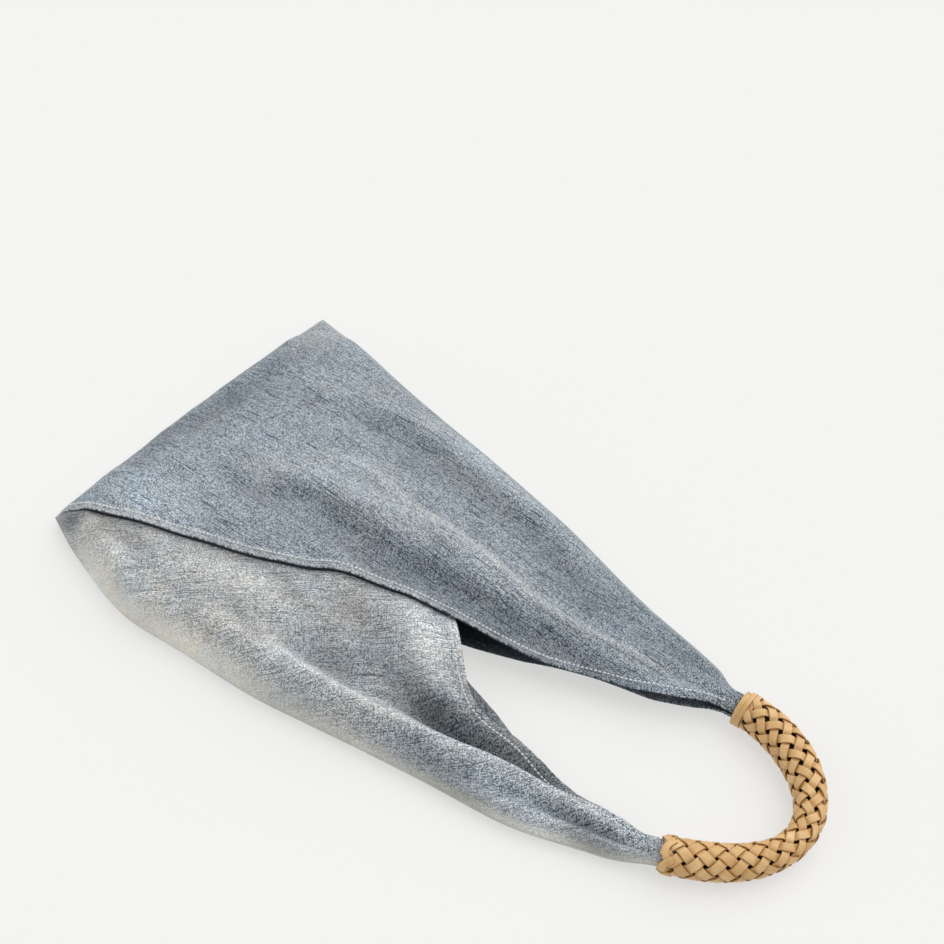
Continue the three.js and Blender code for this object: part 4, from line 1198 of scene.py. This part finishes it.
def braided_lace(plan, hand, number):
    """One lace of a tubular plain braid: its angle grows evenly along the handle, and it rises over and dips
    under the laces of the other hand in turn. A flat rounded section, curved to the tube, follows it."""
    h, line = plan.h, plan.handle
    begin = h.binding
    length = line.length - 2 * begin
    pitch = np.pi * h.tube / h.laces / math.tan(h.slant)
    step = length / round(length / pitch)
    at = np.linspace(begin - LACE_TUCK, line.length - begin + LACE_TUCK, LACE_STEPS)
    run = (at - begin) / step
    turn = np.pi / h.laces
    angle = 2 * turn * (number if hand > 0 else number + 0.5) + hand * turn * run
    swing = np.tanh(WEAVE_SNAP * hand * np.sin(np.pi * run)) / math.tanh(WEAVE_SNAP)
    settled = smoothstep(np.minimum(at, line.length - at), 0.004, 0.013)
    radius = mix(DRAWN_RADIUS, plan.tube(at), settled)
    lift = h.lift * swing * mix(0.72, 1, settled)
    path, radial = on_tube(plan, at, angle, radius)
    centre = on_tube(plan, at, angle, radius + lift)[0]
    wide = unit(np.cross(radial, unit(np.gradient(path, axis=0))))
    hole = mix(h.hole, h.hole_drawn, smoothstep(at / line.length, 0.26, 0.5))
    width = (2 * np.pi * h.tube / h.laces * math.cos(h.slant) - hole) / 2 * radius / h.tube
    own = 2.4 * number + hand
    sway = LACE_SWAY * np.sin(1.9 * run + own) * settled
    tilt = LACE_TILT * np.sin(2.3 * run + 1.7 * own) * settled
    aside = width[:, None] * LACE_WIDE
    curl = -aside**2 / (2 * radius[:, None]) * LACE_CURL
    rings = centre[:, None] + wide[:, None] * (aside + sway[:, None])[..., None] + radial[:, None] * (
        h.lace / 2 * LACE_HIGH + curl + tilt[:, None] * width[:, None] * LACE_WIDE)[..., None]
    # Painted highlight and shade, partly wear: paler over a crossing, base colour where the lace dips under.
    tone = 0.78 + 0.22 * np.sin(1.3 * own + 0.55 * run)
    raised = (0.5 + 0.5 * swing[:, None] * np.where(LACE_HIGH > -0.2, 1, -0.5)) * tone[:, None]
    return *tube_arrays(rings, at, LACE_EDGE), np.clip(raised, 0, 1).ravel()


class BAG_OT_laces(Operator):
    """Braid the leather laces around the handle"""
    bl_idname = "bag.laces"
    bl_label = "Laces"

    def execute(self, context):
        plan = BagPlan(context.scene)
        finish = material("tan_lace_leather", leather_material, context.scene)
        for i, node in enumerate(STRANDS):
            hand = 1 if i < plan.h.laces else -1
            *skin, raised = braided_lace(plan, hand, i % plan.h.laces)
            lace = new_piece(plan, "lace_" + node[-2:], "lace_leather", finish, *skin, {"raised": raised})
            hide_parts(node)
        return {"FINISHED"}


def lace_along(centre, radial, width, thick, bend):
    """A flat lace section carried along a line of points, square to the line and flat to the tube. bend lifts
    or drops each place across the lace."""
    wide = unit(np.cross(radial, unit(np.gradient(centre, axis=0))))
    aside = wide[:, None] * (width * LACE_WIDE)[None, :, None]
    rings = centre[:, None] + aside + radial[:, None] * (thick / 2 * LACE_HIGH + bend)[..., None]
    # Painted light: the outer face paler than the face towards the braid.
    raised = np.broadcast_to(np.where(LACE_HIGH > 0, 0.75, 0.2)[None], rings.shape[:2]).ravel()
    return *tube_arrays(rings, run_length(centre), LACE_EDGE), raised


# The wraps, in metres: half width of the upper one's lace, its number of turns, its slant and its radius.
# Then half width of the lower one's loops, their distance from the end of the braid, their depth and their
# radius. Last the points along each.
WRAP_WIDTH, WRAP_TURNS, WRAP_SLANT, WRAP_RADIUS = 0.0021, 2.3, 0.0014, 0.0139
LOOP_WIDTH, LOOP_END, LOOP_DEPTH, LOOP_RADIUS = 0.0028, 0.0036, 0.0064, 0.0135
WRAP_POINTS, LOOP_POINTS = 181, 41


def wrapped_lace(plan):
    """Two slanting turns of a flat lace around the braid's upper end; both its ends dip under the braid."""
    h = plan.h
    share = np.linspace(0, 1, WRAP_POINTS)
    angle = 2 * np.pi * WRAP_TURNS * share + 0.4
    at = mix(0.0006, h.binding + 0.0026, share) + WRAP_SLANT * np.sin(angle + 0.9)
    under = 0.0024 * (1 - smoothstep(share, 0, 0.09) * smoothstep(1 - share, 0, 0.09))
    centre, radial = on_tube(plan, at, angle, WRAP_RADIUS + 0.0004 * np.sin(2 * angle + 1) - under)
    tilt = 0.00025 * np.sin(angle)[:, None] * LACE_WIDE[None]
    return lace_along(centre, radial, WRAP_WIDTH, h.binding_thick, tilt)


def turned_lace(plan, number):
    """A lace that turns back at the lower end of the braid: a loop round the rim of the tube, over the loop
    before it and under the one after it, with its outer side drawn in over the rolled cloth."""
    h = plan.h
    share = np.linspace(-1, 1, LOOP_POINTS)
    angle = 2 * np.pi * (number + 0.25) / h.laces + 0.66 * share
    at = plan.handle.length - LOOP_END - LOOP_DEPTH * share**2
    radius = LOOP_RADIUS + 0.0008 * np.tanh(2.5 * share) + 0.0004 * np.sin(2.1 * number)
    centre, radial = on_tube(plan, at, angle, radius)
    drawn = -0.0021 * np.maximum(LACE_WIDE[None], 0) ** 2 * bell(share[:, None], 0.75)
    return lace_along(centre, radial, LOOP_WIDTH, h.binding_thick, drawn)


class BAG_OT_bindings(Operator):
    """Wrap both ends of the braid"""
    bl_idname = "bag.bindings"
    bl_label = "Bindings"

    def execute(self, context):
        plan = BagPlan(context.scene)
        finish = material("tan_lace_leather", leather_material, context.scene)
        ends = {"upper": [wrapped_lace(plan)], "lower": [turned_lace(plan, k) for k in range(plan.h.laces)]}
        for name, parts in ends.items():
            skin = join_arrays([part[:3] for part in parts])
            raised = np.concatenate([part[3] for part in parts])
            wrap = new_piece(plan, "wrap_" + name, "lace_leather", finish, *skin, {"raised": raised})
            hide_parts("binding_" + name)
        return {"FINISHED"}


# The filler cord, in metres: its play inside the braid, the gap to the rolled ears, how deep and how long its
# lay is, how far its ends take to round off, and its girth. Then its rings and the points of each.
CORD_PLAY, CORD_GAP, CORD_LAY, CORD_TWIST, CORD_CAP, CORD_GIRTH = 0.0008, 0.0003, 0.0007, 0.012, 0.004, 0.06
CORD_RINGS, CORD_SIDES = 140, 36


class BAG_OT_filler(Operator):
    """Lay the filler cord inside the braid"""
    bl_idname = "bag.filler"
    bl_label = "Filler"

    def execute(self, context):
        plan = BagPlan(context.scene)
        inner_end = plan.s.tuck + CORD_GAP
        at = np.linspace(inner_end, plan.handle.length - inner_end, CORD_RINGS)
        turn = 2 * np.pi * np.arange(CORD_SIDES) / CORD_SIDES
        lay = CORD_LAY * np.abs(np.sin(1.5 * turn[None] + at[:, None] / CORD_TWIST))
        room = plan.h.core / 2 + plan.tube(at) - plan.h.tube
        cap = rounding(np.minimum(at - at[0], at[-1] - at) + 2e-4, CORD_CAP)
        radius = (room[:, None] - CORD_PLAY + lay) * cap[:, None]
        point, left = plan.handle.at(at)
        rings = point[:, None] + left[:, None] * (radius * np.cos(turn))[..., None]
        rings[..., 2] += radius * np.sin(turn)
        finish = material("dark_filler_cord", filler_material, context.scene)
        skin = tube_arrays(rings, at, turn / (2 * np.pi) * CORD_GIRTH)
        cord = new_piece(plan, "filler_cord", "filler", finish, *skin)
        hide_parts("handle_core")
        return {"FINISHED"}


# The stage: reach of the floor to each side and its depth below the table, in metres, the points along each
# of its sides, and the colour behind it.
FLOOR_REACH, FLOOR_DEPTH, FLOOR_POINTS = 4, 0.0002, 9
BACKDROP = (0.9, 0.9, 0.89)
# Spread of each light, in degrees.
KEY_SPREAD, FILL_SPREAD = 80, 60


def lay_floor(context):
    """A square grid of quads just below the table's height."""
    edge = np.linspace(-FLOOR_REACH, FLOOR_REACH, FLOOR_POINTS)
    gx, gy = np.meshgrid(edge, edge, indexing="ij")
    verts = np.stack([gx, gy, np.full_like(gx, -FLOOR_DEPTH)], -1).reshape(-1, 3)
    index = np.arange(gx.size).reshape(gx.shape)
    quads = np.stack([index[:-1, :-1], index[1:, :-1], index[1:, 1:], index[:-1, 1:]], -1).reshape(-1, 4)
    mesh = bpy.data.meshes.new("floor")
    mesh.from_pydata(verts.tolist(), [], quads.tolist())
    mesh.materials.append(material("pale_floor", floor_material, context.scene))
    floor = bpy.data.objects.new("floor", mesh)
    context.collection.objects.link(floor)


def light_sky(scene):
    """An even white sky, which the eye sees as a pale backdrop."""
    scene.world = scene.world or bpy.data.worlds.new("soft_studio")
    scene.world.use_nodes = True
    g = NodeGraph(scene.world.node_tree)
    sky = g.tree.nodes["Background"]
    g.put(sky.inputs["Color"], (1.0, 1.0, 1.0))
    g.put(sky.inputs["Strength"], scene.bag_stage.sky)
    g.surface("World Output", g.seen(), sky, g.node("Background", {"Color": BACKDROP}))


def hang_lamp(context, name, strength, spread, towards):
    """A sun with a wide spread, which shines from one direction."""
    light = bpy.data.lights.new(name, "SUN")
    light.energy = strength
    light.angle = math.radians(spread)
    lamp = bpy.data.objects.new(name, light)
    lamp.rotation_euler = towards.to_track_quat("Z", "Y").to_euler()
    context.collection.objects.link(lamp)


def set_camera(context, right):
    """The camera looks at its aim from its azimuth, elevation and distance."""
    view, origin = context.scene.bag_stage, BagPlan(context.scene).origin
    aim = Vector((view.aim[0] + origin[0], view.aim[1] + origin[1], 0))
    out = right.cross(Vector(UP)) * math.cos(view.elevation) + Vector(UP) * math.sin(view.elevation)
    data = bpy.data.cameras.new("camera")
    data.sensor_fit = "HORIZONTAL"
    data.angle = view.field
    data.clip_end = 50
    camera = bpy.data.objects.new("camera", data)
    camera.location = aim + out * view.distance
    camera.rotation_euler = out.to_track_quat("Z", "Y").to_euler()
    context.collection.objects.link(camera)
    context.scene.camera = camera


class BAG_OT_stage(Operator):
    """Set the floor, the soft light and the camera"""
    bl_idname = "bag.stage"
    bl_label = "Stage"

    def execute(self, context):
        view = context.scene.bag_stage
        right = Vector((math.cos(view.azimuth), math.sin(view.azimuth), 0))
        back = Vector((-math.sin(view.azimuth), math.cos(view.azimuth), 0))
        lay_floor(context)
        light_sky(context.scene)
        key_side = right * 0.55 + back * 0.35 + Vector((0, 0, 0.85))
        hang_lamp(context, "key_light", view.key, KEY_SPREAD, key_side)
        fill_side = right * -0.9 + Vector((0, 0, 0.45))
        hang_lamp(context, "fill_light", view.fill, FILL_SPREAD, fill_side)
        set_camera(context, right)
        context.scene.view_settings.view_transform = "Standard"
        return {"FINISHED"}


class BAG_PT_sidebar(Panel):
    """Bag pieces and their sizes"""
    bl_idname = "BAG_PT_sidebar"
    bl_label = "Denim Shoulder Bag"
    bl_space_type = "VIEW_3D"
    bl_region_type = "UI"
    bl_category = "Bag"

    def draw(self, context):
        for operator in OPERATORS:
            self.layout.operator(operator.bl_idname)
        for group in GROUPS:
            box = self.layout.box()
            settings = getattr(context.scene, group)
            for name in settings.__annotations__:
                box.prop(settings, name)


OPERATORS = (BAG_OT_stage, BAG_OT_denim, BAG_OT_topstitch, BAG_OT_laces, BAG_OT_bindings, BAG_OT_filler)
GROUPS = {
    "bag_cloth": BagClothSizes, "bag_handle": BagHandleSizes, "bag_colours": BagColours,
    "bag_stage": BagStageSettings,
}


def register():
    """Adds the settings to the scene, and the operators and the panel to Blender."""
    for name, group in GROUPS.items():
        bpy.utils.register_class(group)
        setattr(bpy.types.Scene, name, PointerProperty(type=group))
    for cls in (*OPERATORS, BAG_PT_sidebar):
        bpy.utils.register_class(cls)


def unregister():
    """Takes all of it out again."""
    for cls in (BAG_PT_sidebar, *reversed(OPERATORS)):
        bpy.utils.unregister_class(cls)
    for name, group in GROUPS.items():
        delattr(bpy.types.Scene, name)
        bpy.utils.unregister_class(group)


def main():
    """Builds the stage and every piece."""
    register()
    bpy.ops.bag.stage()
    bpy.ops.bag.denim()
    bpy.ops.bag.topstitch()
    bpy.ops.bag.laces()
    bpy.ops.bag.bindings()
    bpy.ops.bag.filler()
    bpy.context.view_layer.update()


if __name__ == "__main__":
    main()
